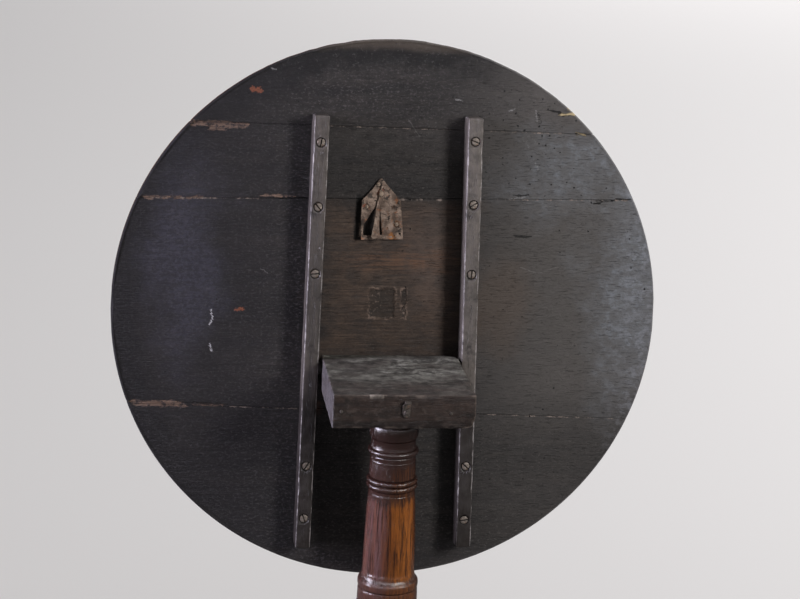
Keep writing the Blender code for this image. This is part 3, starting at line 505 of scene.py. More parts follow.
    # White scratches at the left, hairlines, and small bruises, splinters and gouges at the upper right, the
    # gouges painted dark as their shade
    scratches = s.strokes(
        frayed,
        ((-0.2565, 0.08), (-0.2535, 0.066), 0.0004, 0.0012),
        ((-0.255, 0.064), (-0.2575, 0.058), 0.0006, 0.0012),
        ((-0.257, 0.03), (-0.2545, 0.02), 0.0004, 0.0014),
    )
    scratches = s.both(scratches, cloud(420, 300, 3, 0.6, 0.36, 0.54))
    s.tint(scratches, (0.33, 0.32, 0.35), 0.9)
    hairlines = s.strokes(
        frayed,
        ((0.095, -0.25), (0.125, -0.243), 0.0001, 0.0009),
        ((0.188, 0.146), (0.215, 0.137), 0.0001, 0.0009),
        ((0.215, 0.137), (0.243, 0.147), 0.0001, 0.0009),
        ((0.02, 0.355), (0.036, 0.332), 0.0001, 0.0009),
        ((-0.186, 0.14), (-0.176, 0.133), 0.0001, 0.0009),
    )
    s.tint(hairlines, (0.15, 0.14, 0.14), 0.4)
    bruises = s.strokes(
        frayed,
        ((0.086, 0.386), (0.095, 0.384), 0.0004, 0.0012),
        ((0.168, 0.2445), (0.192, 0.2475), 0.0004, 0.0011),
        ((0.203, 0.372), (0.205, 0.356), 0.0003, 0.001),
        ((0.163, 0.371), (0.172, 0.374), 0.0003, 0.001),
        ((-0.176, 0.425), (-0.172, 0.423), 0.0006, 0.0014),
        ((0.205, 0.297), (0.209, 0.288), 0.0003, 0.001),
    )
    crushed = s.both(patch((60, 60), (0.02, 0.02), (0.194, 0.325), (0.013, 0.01)), crumbly)
    bruises = s.both(s.either(bruises, crushed), cloud(260, 260, 4, 0.7, 0.38, 0.56))
    s.tint(bruises, (0.2, 0.195, 0.2), 0.7)
    shaded_gouges = s.strokes(
        torn,
        ((0.178, 0.249), (0.196, 0.252), 0.0008, 0.0012),
        ((0.206, 0.369), (0.208, 0.355), 0.0006, 0.001),
        ((0.18, 0.191), (0.2, 0.19), 0.0006, 0.0014),
    )
    s.tint(shaded_gouges, (0.004, 0.0035, 0.0035), 0.85)

    # The mark of an older catch: a shallow housing with bruised, paler edges
    bruised = s.ragged(here, (150, 150), (0.012, 0.01))
    mark = s.panel(bruised, (-0.032, 0.068), (0.009, 0.115), 0.0014)
    inside = s.panel(bruised, (-0.0295, 0.0705), (0.0065, 0.1125), 0.0018)
    strip = s.panel(bruised, (0.015, 0.0685), (0.0255, 0.1145), 0.0014)
    strip_inside = s.panel(bruised, (0.0175, 0.071), (0.023, 0.112), 0.0014)
    line = s.either(s.less(mark, inside), s.less(strip, strip_inside))
    housing = s.either(inside, strip_inside)
    s.tint(housing, (0.017, 0.014, 0.0125), 0.55)
    left_part = s.blotch(here, (-0.022, 0.094), (0.01, 0.02), 0.9)
    crumbs = cloud(230, 190, 5, 0.75, 0.54, 0.66, 0.6)
    crumbs = s.both(crumbs, housing, s.either(left_part, strip_inside, 0.25))
    s.tint(crumbs, (0.19, 0.14, 0.118), 0.85)
    s.tint(s.both(line, cloud(60, 50, 5, 0.7, 0.44, 0.6)), (0.165, 0.118, 0.096), 0.85)

    # Worm holes painted black as their shade, thickest at the upper right, and open pores
    cells = s.node("ShaderNodeTexVoronoi", feature="F1", voronoi_dimensions="2D")
    nudged = s.ragged(here, (300, 300), (0.004, 0.003))
    s.put(cells.inputs["Vector"], s.vector("MULTIPLY", nudged, (95, 95, 0)))
    cells.inputs["Scale"].default_value = 1.0
    lots = [s.axis(cells.outputs["Color"], k) for k in (0, 1, 2)]
    wormy = s.math("GREATER_THAN", patch((20, 20), (0.05, 0.05), (0.2, 0.325), (0.075, 0.08), 0.5), 0.4)
    thick = s.both(s.math("GREATER_THAN", lots[0], 0.74), wormy)
    few = s.both(s.math("GREATER_THAN", lots[1], 0.93), s.cloud(here, (7, 7, 1), 2, 0.5, 0.44, 0.56))
    size = s.spread(lots[2], 0, 1, 0.05, 0.13, False)
    worm = s.both(s.spread(s.less(size, cells.outputs["Distance"]), -0.02, 0.03), s.either(thick, few))
    s.tint(worm, (0.003, 0.003, 0.003))
    s.tint(oak.pores, (0.0055, 0.005, 0.005), 0.6)

    rough = s.spread(s.noise(here, (30, 45, 1), 5, 0.65), 0.3, 0.7, 0.42, 0.62)
    rough = s.add(rough, s.both(shelter, 0.12))
    rough = s.add(rough, s.both(chamfer, leftward, 0.35))
    rough = s.add(rough, s.both(s.either(raw, lips, scratches), 0.25), clamp=True)
    rough = s.add(rough, s.both(oak.fibres, 0.06))
    wood = s.less(oak.relief(s, 0.5, 0.45, 0.8), s.both(s.either(scuffs, pits), 0.6))
    dug = s.either(raw, worm, shaded_hollows, s.both(housing, 0.7), s.both(chips, 0.8))
    ragged_floor = s.less(s.both(raw, oak.streaks), s.both(dug, 1.5))
    normal = s.bump(ragged_floor, 0.0012, 0.9, s.bump(wood, 0.0006, 0.8))
    return s.done(rough, normal, Specular_IOR_Level=0.2)


def board_upper_side():
    """The show side: waxed oak with a deep brown patina, ringed and rubbed."""
    s = Shader("patinated_oak")
    here = s.flat(s.here)
    oak = Oak(s, s.here)
    s.colour = s.mix(oak.broad, (0.04, 0.0155, 0.0075), (0.098, 0.04, 0.0165))
    s.tint(oak.streaks, (0.15, 0.066, 0.028), 0.6)
    s.tint(oak.fibres, (0.03, 0.012, 0.006), 0.35)
    s.tint(oak.pores, (0.009, 0.005, 0.003), 0.75)
    s.tint(s.cloud(here, (38, 260, 1), 3, 0.5, 0.62, 0.7, 1.2), (0.21, 0.105, 0.048), 0.35)
    s.tint(s.cloud(here, (5, 6, 1), 4, 0.6, 0.55, 0.72), (0.02, 0.009, 0.005), 0.55)
    rings = []
    for centre, size in (((-0.13, 0.19), 0.047), ((0.175, -0.02), 0.04), ((0.06, 0.3), 0.052)):
        offset = s.vector("SUBTRACT", s.ragged(here, (30, 30), (0.002, 0.002)), (*centre, 0))
        band = s.spread(s.math("ABSOLUTE", s.less(s.length(offset), size)), 0.0006, 0.003, 1.0, 0.0)
        rings.append(s.both(band, s.cloud(here, (24, 24, 1), 2, 0.5, 0.38, 0.6)))
    rings = s.either(*rings)
    s.tint(rings, (0.012, 0.006, 0.004), 0.6)
    edge = s.spread(s.length(s.from_disc(here)), DISC_RADIUS - 0.018, DISC_RADIUS - 0.002)
    s.tint(edge, (0.028, 0.013, 0.008), 0.55)
    rough = s.spread(s.noise(here, (12, 46, 1), 5, 0.62), 0.3, 0.7, 0.27, 0.35)
    rough = s.add(rough, s.both(rings, 0.15))
    normal = s.bump(s.less(s.both(oak.streaks, 0.35), oak.pores), 0.00022, 0.55)
    # Worn wax mirrors little where it is seen nearly edge on, so a window's glare does not hide the wood.
    shine = s.spread(s.node("ShaderNodeLayerWeight").outputs["Facing"], 0.28, 0.74, 1.0, 0.12)
    shine = s.math("POWER", shine, 3.0)
    return s.done(rough, normal, Specular_IOR_Level=s.math("MULTIPLY", shine, 0.5),
                  Coat_Weight=s.math("MULTIPLY", shine, 0.25), Coat_Roughness=0.22)


def block_dirt_and_light(s):
    """The block's grey, dusty top with a paler smear at its back that is partly a painted highlight, the chip
    on its front edge, painted light on its left end, and its blotched sides.
    """
    sky = s.attribute("top")
    scuffed = s.cloud(s.here, (13, 34, 16), 8, 0.7, 0.36, 0.66, 0.3)
    backward = s.spread(s.axis(s.here, 1), -0.165, -0.06, 0.25, 1.0)
    dusty = s.both(sky, backward, s.ease(scuffed, 0.26))
    s.tint(dusty, (0.16, 0.156, 0.138), 0.95)
    # A paler smear towards the back of the top: dust and a painted highlight.
    s.tint(s.both(dusty, s.cloud(s.here, (9, 46, 12), 7, 0.66, 0.5, 0.72, 0.4)), (0.33, 0.325, 0.296), 0.5)
    s.tint(s.both(sky, s.cloud(s.here, (26, 44, 26), 7, 0.74, 0.5, 0.6, 0.6)), (0.022, 0.0195, 0.0165), 0.8)
    nicked = s.ragged(s.flat(s.here), (200, 200), (0.004, 0.004))
    knock = s.stroke(nicked, (-0.047, -0.1805), (-0.03, -0.1805), 0.0008, 0.0014)
    knock = s.both(knock, s.math("GREATER_THAN", s.axis(s.here, 2), 0.008), s.attribute("wear_and_edge_light"))
    s.tint(knock, (0.33, 0.29, 0.26), 0.9)
    # Painted light on the left end.
    s.tint(s.spread(s.axis(s.here, 0), -0.096, -0.0975), (0.11, 0.103, 0.112), 0.62)
    blotches = s.both(s.cloud(s.here, (70, 95, 95), 6, 0.74, 0.5, 0.64, 0.4), s.less(1.0, sky))
    s.tint(blotches, (0.062, 0.046, 0.04), 0.55)
    return sky


def bearer_tones(s):
    """Painted light on the right bearer, and both of them darker towards the foot."""
    foot = s.add(s.axis(s.here, 1), s.both(s.noise(s.here, 20, 4), 0.06))
    # Painted light: the right bearer is lighter than the left.
    s.tint(s.attribute("right_bearer_light"), (0.135, 0.118, 0.106), 0.4)
    s.tint(s.spread(foot, 0.015, -0.035), (0.009, 0.0064, 0.006), 0.9)


def worn_oak(name, along, dark, mid, light, worn, edges, stains):
    """Old oak in the round, its colour rubbed away along the edges, where a painted highlight is laid as
    well: the lower edges is, the more evenly.
    """
    s = Shader(name)
    oak = Oak(s, s.here, along)
    s.colour = s.mix(oak.broad, dark, mid)
    s.tint(oak.streaks, light, 0.6)
    s.tint(oak.fibres, dark, 0.35)
    dry = stains(s)
    broken = s.cloud(s.here, 38, 7, 0.75, 0.36, 0.64)
    rubbed_and_lit_edges = s.add(s.attribute("wear_and_edge_light"), s.both(s.less(broken, 0.7), edges))
    # Wear and a painted highlight along the edges.
    s.tint(s.spread(rubbed_and_lit_edges, 0.45, 1.00), worn, 0.7)
    s.tint(s.cloud(s.here, 85, 5, 0.7, 0.4, 0.64), dark, 0.55)
    s.tint(oak.pores, (0.006, 0.005, 0.004), 0.6)
    s.tint(s.cloud(s.here, 45, 4, 0.6, 0.6, 0.74), (0.008, 0.0065, 0.006), 0.7)
    rough = s.spread(s.noise(s.here, 60, 4, 0.6), 0.3, 0.7, 0.32, 0.54)
    if dry:
        rough = s.add(rough, s.both(dry, 0.25))
    return s.done(rough, s.bump(oak.relief(s, 0.5, 0.5), 0.0005, 0.7), Specular_IOR_Level=0.24)


def polished_oak(name, along, pivot_height=None):
    """Red-brown polished oak, streaked. The pillar's has an amber side that is partly a painted highlight and
    a wine left side that is partly a painted lavender sheen, and is nearly black near its top.
    """
    s = Shader(name)
    oak = Oak(s, s.here, along, 1.15)

    def lay(length, width):
        return (width, width, length) if along == "Z" else (length, width, width)

    s.colour = s.mix(oak.broad, (0.014, 0.0036, 0.0016), (0.056, 0.0135, 0.0032))
    if pivot_height:
        round_axis = s.vector("NORMALIZE", s.flat(s.here))
        facing = s.vector("DOT_PRODUCT", round_axis, (0.5, -0.866, 0), output="Value")
        # Amber toward the right front, partly a painted highlight.
        amber_and_highlight = s.spread(s.add(facing, s.waver(s.here, (34, 34, 6), 5, 0.65, 0.55)), 0.66, 1.02)
        s.tint(amber_and_highlight, (0.25, 0.08, 0.011), 0.88)
        # Wine colour on the left side, partly a painted lavender sheen.
        sideways = s.vector("DOT_PRODUCT", round_axis, (0.94, -0.34, 0), output="Value")
        s.tint(s.spread(sideways, -0.25, 0.3, 1, 0), (0.092, 0.052, 0.056), 0.66)
    s.tint(oak.streaks, (0.125, 0.036, 0.007), 0.42)
    s.tint(oak.fibres, (0.04, 0.011, 0.004), 0.45)
    s.tint(s.cloud(s.here, lay(8, 300), 6, 0.72, 0.46, 0.62, 0.2), (0.016, 0.005, 0.0024), 0.78)
    flecks = s.cloud(s.here, lay(16, 420), 3, 0.6, 0.55, 0.66)
    s.tint(flecks, (0.012, 0.0045, 0.0025), 0.65)
    s.tint(oak.pores, (0.01, 0.004, 0.0025), 0.7)
    # Painted shade in the grooves and hollows of the turnings and legs.
    s.tint(s.attribute("hollow_shade"), (0.007, 0.0035, 0.003), 0.9)
    if pivot_height:
        height = s.less(s.axis(s.here, 2), pivot_height)
        uneven = s.waver(s.here, (45, 45, 18), 5, 0.65, 0.05)
        level = s.add(height, uneven)
        s.tint(s.spread(level, -0.122, -0.1), (0.011, 0.0056, 0.0062), 0.9)
        s.tint(s.spread(level, -0.162, -0.148), (0.03, 0.01, 0.007), 0.45)
        smudge = s.spread(s.add(height, s.both(uneven, 1.4)), -0.172, -0.158)
        s.tint(smudge, (0.012, 0.006, 0.005), 0.7)
        s.tint(s.spread(level, -0.288, -0.27, 1, 0), (0.03, 0.013, 0.01), 0.6)
    rough = s.spread(s.noise(s.here, (150, 150, 60), 6, 0.7), 0.3, 0.7, 0.08, 0.26)
    wood = s.less(oak.relief(s, 0.5, 0.25), s.both(flecks, 0.6))
    return s.done(rough, s.bump(wood, 0.0005, 0.7), Specular_IOR_Level=0.5)


UNDERSIDE_OAK = board_underside()
UPPER_OAK = board_upper_side()
# The bearers' pale edges are wear and a painted highlight on their chamfers.
RAIL_OAK = worn_oak("bearer_oak", "Y", (0.03, 0.0255, 0.0245), (0.066, 0.056, 0.053),
                    (0.1, 0.083, 0.074), (0.33, 0.305, 0.31), 0.6, bearer_tones)
BLOCK_OAK = worn_oak("block_oak", "X", (0.009, 0.0065, 0.0062), (0.023, 0.0155, 0.0138),
                     (0.048, 0.031, 0.025), (0.11, 0.085, 0.072), 1.1, block_dirt_and_light)
PILLAR_OAK = polished_oak("pillar_oak", "Z", PIVOT.z)
LEG_OAK = polished_oak("leg_oak", "X")
RUST_ORANGE, RUST_RED, SCALE_BLACK = (0.3, 0.12, 0.032), (0.18, 0.045, 0.02), (0.012, 0.009, 0.008)
IRON_BLACK = (0.01, 0.008, 0.007)
CATCH_IRON = iron("catch_iron", (0.11, 0.074, 0.056), (0.27, 0.205, 0.165), IRON_BLACK, rusty=0.75, stains=[
    ((RIVET.x, RIVET.y), 0.005, SCALE_BLACK),
    ((RIVET.x - 0.0035, RIVET.y + 0.001), 0.0026, RUST_RED),
])
HEAD_IRON = iron("head_iron", (0.19, 0.14, 0.105), (0.42, 0.33, 0.26), IRON_BLACK, rusty=0.4)
PLATE_IRON = iron("plate_iron", (0.08, 0.054, 0.041), (0.25, 0.185, 0.148), IRON_BLACK, rusty=0.85, stains=[
    ((0.0058, 0.2066), 0.0034, RUST_ORANGE),
    ((-0.001, 0.1885), 0.0045, RUST_ORANGE),
    ((-0.0175, 0.253), 0.0042, RUST_RED),
    ((-0.04, 0.233), 0.003, RUST_RED),
    ((0.0098, 0.1965), 0.0028, SCALE_BLACK),
    ((0.003, 0.23), 0.0035, SCALE_BLACK),
    ((-0.043, 0.21), 0.005, SCALE_BLACK),
    ((-0.033, 0.248), 0.004, SCALE_BLACK),
    *(((spot.x + 0.0006, spot.y - 0.0006), 0.004, SCALE_BLACK) for spot in CATCH_SCREWS.values()),
])
SCREW_IRON = iron("screw_iron", (0.11, 0.092, 0.08), (0.24, 0.205, 0.18), (0.012, 0.01, 0.009),
                  0.45, 0.7, 0.0003)
# Grime and painted shade for screw slots and countersinks.
GRIME_AND_SHADE = iron("slot_grime_and_shade", (0.005, 0.0045, 0.004), (0.01, 0.009, 0.008), (0.003, 0.003, 0.003), 0.8, 0.1)
BLACK_IRON = iron("black_iron", (0.045, 0.038, 0.034), (0.11, 0.092, 0.08), (0.008, 0.007, 0.006), 0.55, 0.7)


# Mesh building


def in_scene(name, data, place=None):
    obj = bpy.data.objects.new(name, data)
    bpy.context.scene.collection.objects.link(obj)
    if place is not None:
        obj.matrix_world = place
    return obj


def mesh_piece(name, verts, faces, place, material=None, marks=None):
    """A smooth piece in its own frame, with any per-point marks that its material reads."""
    mesh = bpy.data.meshes.new(name)
    mesh.from_pydata([tuple(v) for v in verts], [], faces)
    for mark, values in (marks or {}).items():
        mesh.attributes.new(mark, "FLOAT", "POINT").data.foreach_set("value", values)
    if material:
        mesh.materials.append(material)
    mesh.shade_smooth()
    return in_scene(name, mesh, place)


def replace(obj, body, slot, *nodes):
    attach(obj, body)
    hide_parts(*nodes)
    return obj


def rough_noise(point, scale, amount):
    return amount * noise.noise(Vector(point) * scale)


def shape(obj, kind, **settings):
    """Applies one modifier to a piece for good."""
    modifier = obj.modifiers.new(kind.title(), kind)
    for name, value in settings.items():
        setattr(modifier, name, value)
    bpy.context.view_layer.update()
    graph = bpy.context.evaluated_depsgraph_get()
    mesh = bpy.data.meshes.new_from_object(obj.evaluated_get(graph))
    obj.modifiers.clear()
    obj.data = mesh
    return obj


def carve(obj, cutter, operation="DIFFERENCE"):
    """Cuts or joins another shape into a piece."""
    shape(obj, "BOOLEAN", operation=operation, solver="EXACT", material_mode="TRANSFER", object=cutter)
    bpy.data.objects.remove(cutter, do_unlink=True)


def edit(obj, change):
    """Runs a change on a piece's mesh as a bmesh."""
    bm = bmesh.new()
    bm.from_mesh(obj.data)
    change(bm)
    bm.to_mesh(obj.data)
    bm.free()


def weld(obj, distance=0.00002):
    def change(bm):
        bmesh.ops.remove_doubles(bm, verts=bm.verts, dist=distance)
        bmesh.ops.dissolve_degenerate(bm, edges=bm.edges, dist=distance)
        bmesh.ops.recalc_face_normals(bm, faces=bm.faces)

    edit(obj, change)


def join(obj, other):
    """Adds another piece's mesh to a piece, as one object."""
    extra = other.data.copy()
    extra.transform(obj.matrix_world.inverted() @ other.matrix_world)
    edit(obj, lambda bm: bm.from_mesh(extra))
    bpy.data.objects.remove(other, do_unlink=True)


def around_z(degrees):
    return Matrix.Rotation(radians(degrees), 4, "Z")


# Boards

CHAMFER = 0.003
# How far the board's outline is drawn in, and its height, from the underside's edge round to the upper side
RIM_LAYERS = [
    (CHAMFER + 0.0004, UNDERSIDE),
    (CHAMFER - 0.0002, UNDERSIDE - 0.0003),
    (CHAMFER * 0.5, UNDERSIDE - CHAMFER * 0.55),
    (0.0003, UNDERSIDE - CHAMFER * 1.1),
    (0.0, UNDERSIDE - CHAMFER * 1.3),
    (0.0, UPPER_SIDE + 0.0075),
    (0.001, UPPER_SIDE + 0.0042),
    (0.0032, UPPER_SIDE + 0.0014),
    (0.007, UPPER_SIDE),
]
# The last of those layers that still belongs to the smoked underside
SMOKED_LAYERS = 4


def rim_radius(angle):
    """The rim isn't a true circle: it is nibbled a little all round, and most along its top edge."""
    worn = max(0.0, sin(angle)) ** 6
    point = (cos(angle) * 5, sin(angle) * 5, 1.7)
    nibble = abs(noise.noise(Vector(point) * 3.1)) * 0.0012 + abs(noise.noise(Vector(point) * 11)) * 0.0006
    return DISC_RADIUS - 0.0002 - nibble * (0.25 + worn)


def column_ends(u, inset, below, above):
    """Where a line across the top at u enters and leaves a board, for an outline drawn in by an inset.

    The boards meet inside the joint, and their edges are eased back into a fine groove at both faces.
    """
    across = (u - DISC_U) / (DISC_RADIUS - inset)
    if abs(across) > 1:
        return 1.0, -1.0
    angle = atan2(sqrt(max(0.0, 1 - across * across)), across)
    high = DISC_V + SHRINK * (rim_radius(angle) - inset) * sin(angle)
    low = DISC_V - SHRINK * (rim_radius(-angle) - inset) * sin(angle)
    edge = 0.00002 + min(inset, 0.0026) * 0.08
    if below:
        low = max(low, below[0] + below[1] * u + edge + seam_wander(u, below))
    if above:
        high = min(high, above[0] + above[1] * u - edge + seam_wander(u, above))
    return low, high


def seam_wander(u, seam):
    return rough_noise((u * 9, seam[0] * 40, 0), 1.0, 0.0008)


def crowded(step, count, even_share):
    """Shares from 0 to 1, closer together near both ends."""
    even = step / count
    return even_share * even + (1 - even_share) * (1 - cos(pi * even)) / 2


def board_grid(inset, below, above, columns, rows):
    """Points spread over a board's outline, closer together near its edges."""
    spans = []
    for u in np.linspace(DISC_U - DISC_RADIUS, DISC_U + DISC_RADIUS, 1201):
        low, high = column_ends(u, inset, below, above)
        if high > low:
            spans.append(u)
    first, last = spans[0], spans[-1]
    grid = np.zeros((columns + 1, rows + 1, 2))
    for i in range(columns + 1):
        u = first + (last - first) * crowded(i, columns, 0.35)
        low, high = column_ends(u, inset, below, above)
        high = max(high, low)
        for j in range(rows + 1):
            grid[i, j] = (u, low + (high - low) * crowded(j, rows, 0.3))
    return grid


def board(number, below, above, columns, rows):
    """A board as two faces joined by its chamfered rim: flat but for plane marks and a little cupping."""
    grids = [board_grid(inset, below, above, columns, rows) for inset, depth in RIM_LAYERS]
    verts, faces, kinds = [], [], []

    def relief(u, v):
        low, high = column_ends(u, CHAMFER, below, above)
        share = (v - low) / (high - low) if high > low else 0.5
        cup = 0.0006 * (4 * share * (1 - share) - 0.5)
        waves = rough_noise((u * 5, v * 16, number * 7.3), 1.0, 0.00045)
        plane = rough_noise((u * 14, v * 75, number * 3.1), 1.0, 0.00016)
        return cup + waves + plane - 0.0006

    def add_face_grid(grid, height, up):
        start = len(verts)
        for i in range(columns + 1):
            for j in range(rows + 1):
                u, v = grid[i, j]
                lift = relief(u, v) if up else -0.6 * relief(u, v) - 0.0004
                verts.append((u, v, height + lift if up else height - lift * 0.5))
        for i in range(columns):
            for j in range(rows):
                a = start + i * (rows + 1) + j
                quad = [a, a + rows + 1, a + rows + 2, a + 1]
                faces.append(quad if up else quad[::-1])
                kinds.append(0 if up else 1)
        return [start + i * (rows + 1) + j for i, j in border]

    border = [(i, 0) for i in range(columns)] + [(columns, j) for j in range(rows)]
    border += [(i, rows) for i in range(columns, 0, -1)] + [(0, j) for j in range(rows, 0, -1)]
    ring = add_face_grid(grids[0], RIM_LAYERS[0][1], True)
    for index, (inset, depth) in enumerate(RIM_LAYERS[1:-1], 1):
        start = len(verts)
        verts.extend((*grids[index][i, j], depth) for i, j in border)
        following = list(range(start, start + len(border)))
        join_rings(faces, ring, following)
        kinds.extend([0 if index <= SMOKED_LAYERS else 1] * len(border))
        ring = following
    last = add_face_grid(grids[-1], RIM_LAYERS[-1][1], False)
    join_rings(faces, ring, last)
    kinds.extend([1] * len(border))
    obj = mesh_piece(f"board_{number}", verts, faces, TOP, UNDERSIDE_OAK)
    obj.data.materials.append(UPPER_OAK)
    obj.data.polygons.foreach_set("material_index", kinds)
    weld(obj)
    replace(obj, "top", "top_oak", f"top_board_{number}")


def join_rings(faces, first, second):
    for i in range(len(first)):
        j = (i + 1) % len(first)
        faces.append([first[j], first[i], second[i], second[j]])


# Boxes with worn edges: bearers and block


def edge_steps(low, high, radius, spacing):
    """Positions along a box's side: close together in the rounded edges, and even between them."""
    inner = [low + radius * share for share in (0, 0.12, 0.35, 0.65, 1)]
    count = max(2, int((high - low - 2 * radius) / spacing))
    middle = list(np.linspace(low + radius, high - radius, count + 1))[1:-1]
    return inner + middle + [low + high - x for x in inner[::-1]]


def box_surface(low, high, radius, spacing):
    """The faces of a box as a grid."""
    steps = [edge_steps(low[axis], high[axis], radius, spacing) for axis in range(3)]
    counts = [len(step) for step in steps]
    index, verts, faces = {}, [], []

    def vert(key):
        if key not in index:
            index[key] = len(verts)
            verts.append(Vector([steps[axis][key[axis]] for axis in range(3)]))
        return index[key]

    for axis in range(3):
        one, two = (axis + 1) % 3, (axis + 2) % 3
        for end in (0, counts[axis] - 1):
            for i in range(counts[one] - 1):
                for j in range(counts[two] - 1):
                    quad = []
                    for a, b in ((i, j), (i + 1, j), (i + 1, j + 1), (i, j + 1)):
                        key = [0, 0, 0]
                        key[axis], key[one], key[two] = end, a, b
                        quad.append(vert(tuple(key)))
                    faces.append(quad if end else quad[::-1])
    return verts, faces


def edge_nearness(point, low, high, reach):
    """1 on an edge of the box, falling to 0 at a distance from it."""
    gaps = sorted(min(point[axis] - low[axis], high[axis] - point[axis]) for axis in range(3))
    return max(0.0, 1 - gaps[1] / reach)


def rounded(point, low, high, radius):
    """A point of the box moved onto its rounded surface, and the way out from there."""
    inner = Vector([min(max(point[axis], low[axis] + radius), high[axis] - radius) for axis in range(3)])
    away = point - inner
    if away.length < 1e-9:
        return point.copy(), Vector((0, 0, 1))
    return inner + away.normalized() * radius, away.normalized()


def bearer(side):
    """A chamfered rail with softened, bruised edges, countersunk for its screws."""
    offset, slope, low_end, high_end = RAILS[side]
    radius = 0.0028
    low = Vector((-RAIL_WIDTH / 2, low_end, UNDERSIDE + 0.0002))
    high = Vector((RAIL_WIDTH / 2, high_end, RAIL_FACE))
    raw, faces = box_surface(low, high, radius, 0.0045)
    verts, wear_and_edge_light = [], []
    for point in raw:
        moved, outward = rounded(point, low, high, radius)
        near = edge_nearness(point, low, high, 0.0042)
        dent = rough_noise(point, 55, 0.00035) + rough_noise(point, 210, 0.00012)
        bruise = max(0.0, noise.noise(point * 34 + Vector((side == "left", 3, 0))) - 0.28) * 0.0045 * near
        moved += outward * (dent - bruise - 0.0002)
        moved.z = max(moved.z, low.z)
        verts.append(moved)
        wear_and_edge_light.append(0.0 if point.z < low.z + 0.004 else near)
    turn = Matrix.Translation((offset, 0, 0)) @ Matrix.Rotation(-slope, 4, "Z")
    marks = {"wear_and_edge_light": wear_and_edge_light, "right_bearer_light": [float(side == "right")] * len(raw)}
    obj = mesh_piece(f"rail_{side}", verts, faces, TOP @ turn, RAIL_OAK, marks)
    sink = [(0, 0.001), (0.0071, 0.001), (0.0068, -0.003), (0.003, -0.0052), (0, -0.0052)]
    for number in range(1, 6):
        place = screw_place(side, number)
        # Each countersink takes the grime and painted shade, as a dark ring round the screw's head.
        carve(obj, lathe("sink", sink, TOP @ Matrix.Translation((place.x, place.y, RAIL_FACE)), GRIME_AND_SHADE, 32))
    replace(obj, "top", "bearer_oak", f"bearer_{side}")


def screw_place(side, number):
    return node_centre(f"bearer_screw_{side}_{number}")


BLOCK_HALF = 0.099
PIN_RADIUS = 0.0088


def pivot_block():
    """The square block: worn grey on top, chipped at its corners, with its two pins."""
    points = points_in("pivot_block", BLOCK)
    low, high = Vector(points.min(0)), Vector(points.max(0))
    low.x, high.x = -BLOCK_HALF, BLOCK_HALF
    radius = 0.0024
    lean = sin(REST_LEAN)
    turn_radius = high.z - 0.0002
    # Two corners are worn right off: the top one at the back right, and the lower one at the front right.
    worn_off = ((high, 0.034, 0.012), (Vector((high.x, low.y, low.z)), 0.02, 0.006))
    raw, faces = box_surface(low, high, radius, 0.0042)
    verts, wear_and_edge_light, top = [], [], []
    for point in raw:
        moved, outward = rounded(point, low, high, radius)
        near = edge_nearness(point, low, high, 0.007)
        dent = rough_noise(point, 30, 0.0005) + rough_noise(point, 150, 0.00018)
        scoop = rough_noise((point.x * 9, point.y * 22, 2.5), 1.0, 0.0008) if outward.z > 0.8 else 0.0
        bruise = max(0.0, noise.noise(point * 26) - 0.2) * 0.006 * near
        moved += outward * (dent + min(scoop, 0) - bruise - 0.0006)
        for corner, size, depth in worn_off:
            close = max(0.0, 1 - (point - corner).length / size)
            moved += (Vector((0, (low.y + high.y) / 2, 0)) - corner).normalized() * depth * close ** 1.5
        # The back slopes with the leaning top, and its upper edge is rounded about the pivot.
        if moved.y > 0:
            reach = sqrt(moved.y ** 2 + moved.z ** 2)
            if moved.z > -turn_radius * lean and reach > turn_radius:
                moved.y *= turn_radius / reach
                moved.z *= turn_radius / reach
            moved.y = min(moved.y, (turn_radius + moved.z * lean) / cos(REST_LEAN))
        verts.append(moved)
        wear_and_edge_light.append(near * 0.9)
        top.append(max(0.0, outward.z) ** 2 * (1.0 if point.z > 0 else 0.0))
    obj = mesh_piece("block", verts, faces, BLOCK, BLOCK_OAK, {"wear_and_edge_light": wear_and_edge_light, "top": top})
    sunk = BLOCK_HALF - 0.004
    for start, end in ((points[:, 0].min(), -sunk), (sunk, points[:, 0].max())):
        profile = [(0, end), (0.0086, end), (PIN_RADIUS, end - 0.0006)]
        profile += [(PIN_RADIUS, start + 0.0006), (0.0082, start), (0, start)]
        join(obj, lathe("pin", profile, BLOCK @ Matrix.Rotation(pi / 2, 4, "Y"), BLOCK_OAK, 32))
    replace(obj, "base", "block_oak", "pivot_block")


# Turned pieces


def lathe(name, profile, place, material, steps=48, marks=None, roughen=0.0):
    """A solid turned about its own z from (radius, height) points listed from the top down."""
    verts, faces, rings = [], [], []
    values = {mark: [] for mark in (marks or {})}
    for row, (radius, height) in enumerate(profile):
        count = 1 if radius < 1e-6 else steps
        rings.append((len(verts), count))
        for step in range(count):
            angle = 2 * pi * step / steps
            point = Vector((radius * cos(angle), radius * sin(angle), height))
            if roughen and count > 1:
                share = 1 if radius > 0.01 else 0.4
                point *= 1 + rough_noise(point, 35, roughen / max(radius, 0.004)) * share
                point.z = height
            verts.append(point)
            for mark in values:
                values[mark].append(marks[mark][row])
    for (first, first_count), (second, second_count) in zip(rings, rings[1:]):
        for step in range(steps if first_count + second_count > 2 else 0):
            after = (step + 1) % steps
            if first_count == 1:
                faces.append([first, second + step, second + after])
            elif second_count == 1:
                faces.append([first + step, second, first + after])
            else:
                faces.append([first + step, second + step, second + after, first + after])
    obj = mesh_piece(name, verts, faces, place, material, values)
    obj.data.set_sharp_from_angle(angle=radians(50))
    return obj


def bead(radius, bulge, top, bottom, steps=14):
    middle, half = (top + bottom) / 2, (top - bottom) / 2
    turns = [pi * i / steps for i in range(steps + 1)]
    return [(radius + bulge * sin(turn), middle + half * cos(turn)) for turn in turns]


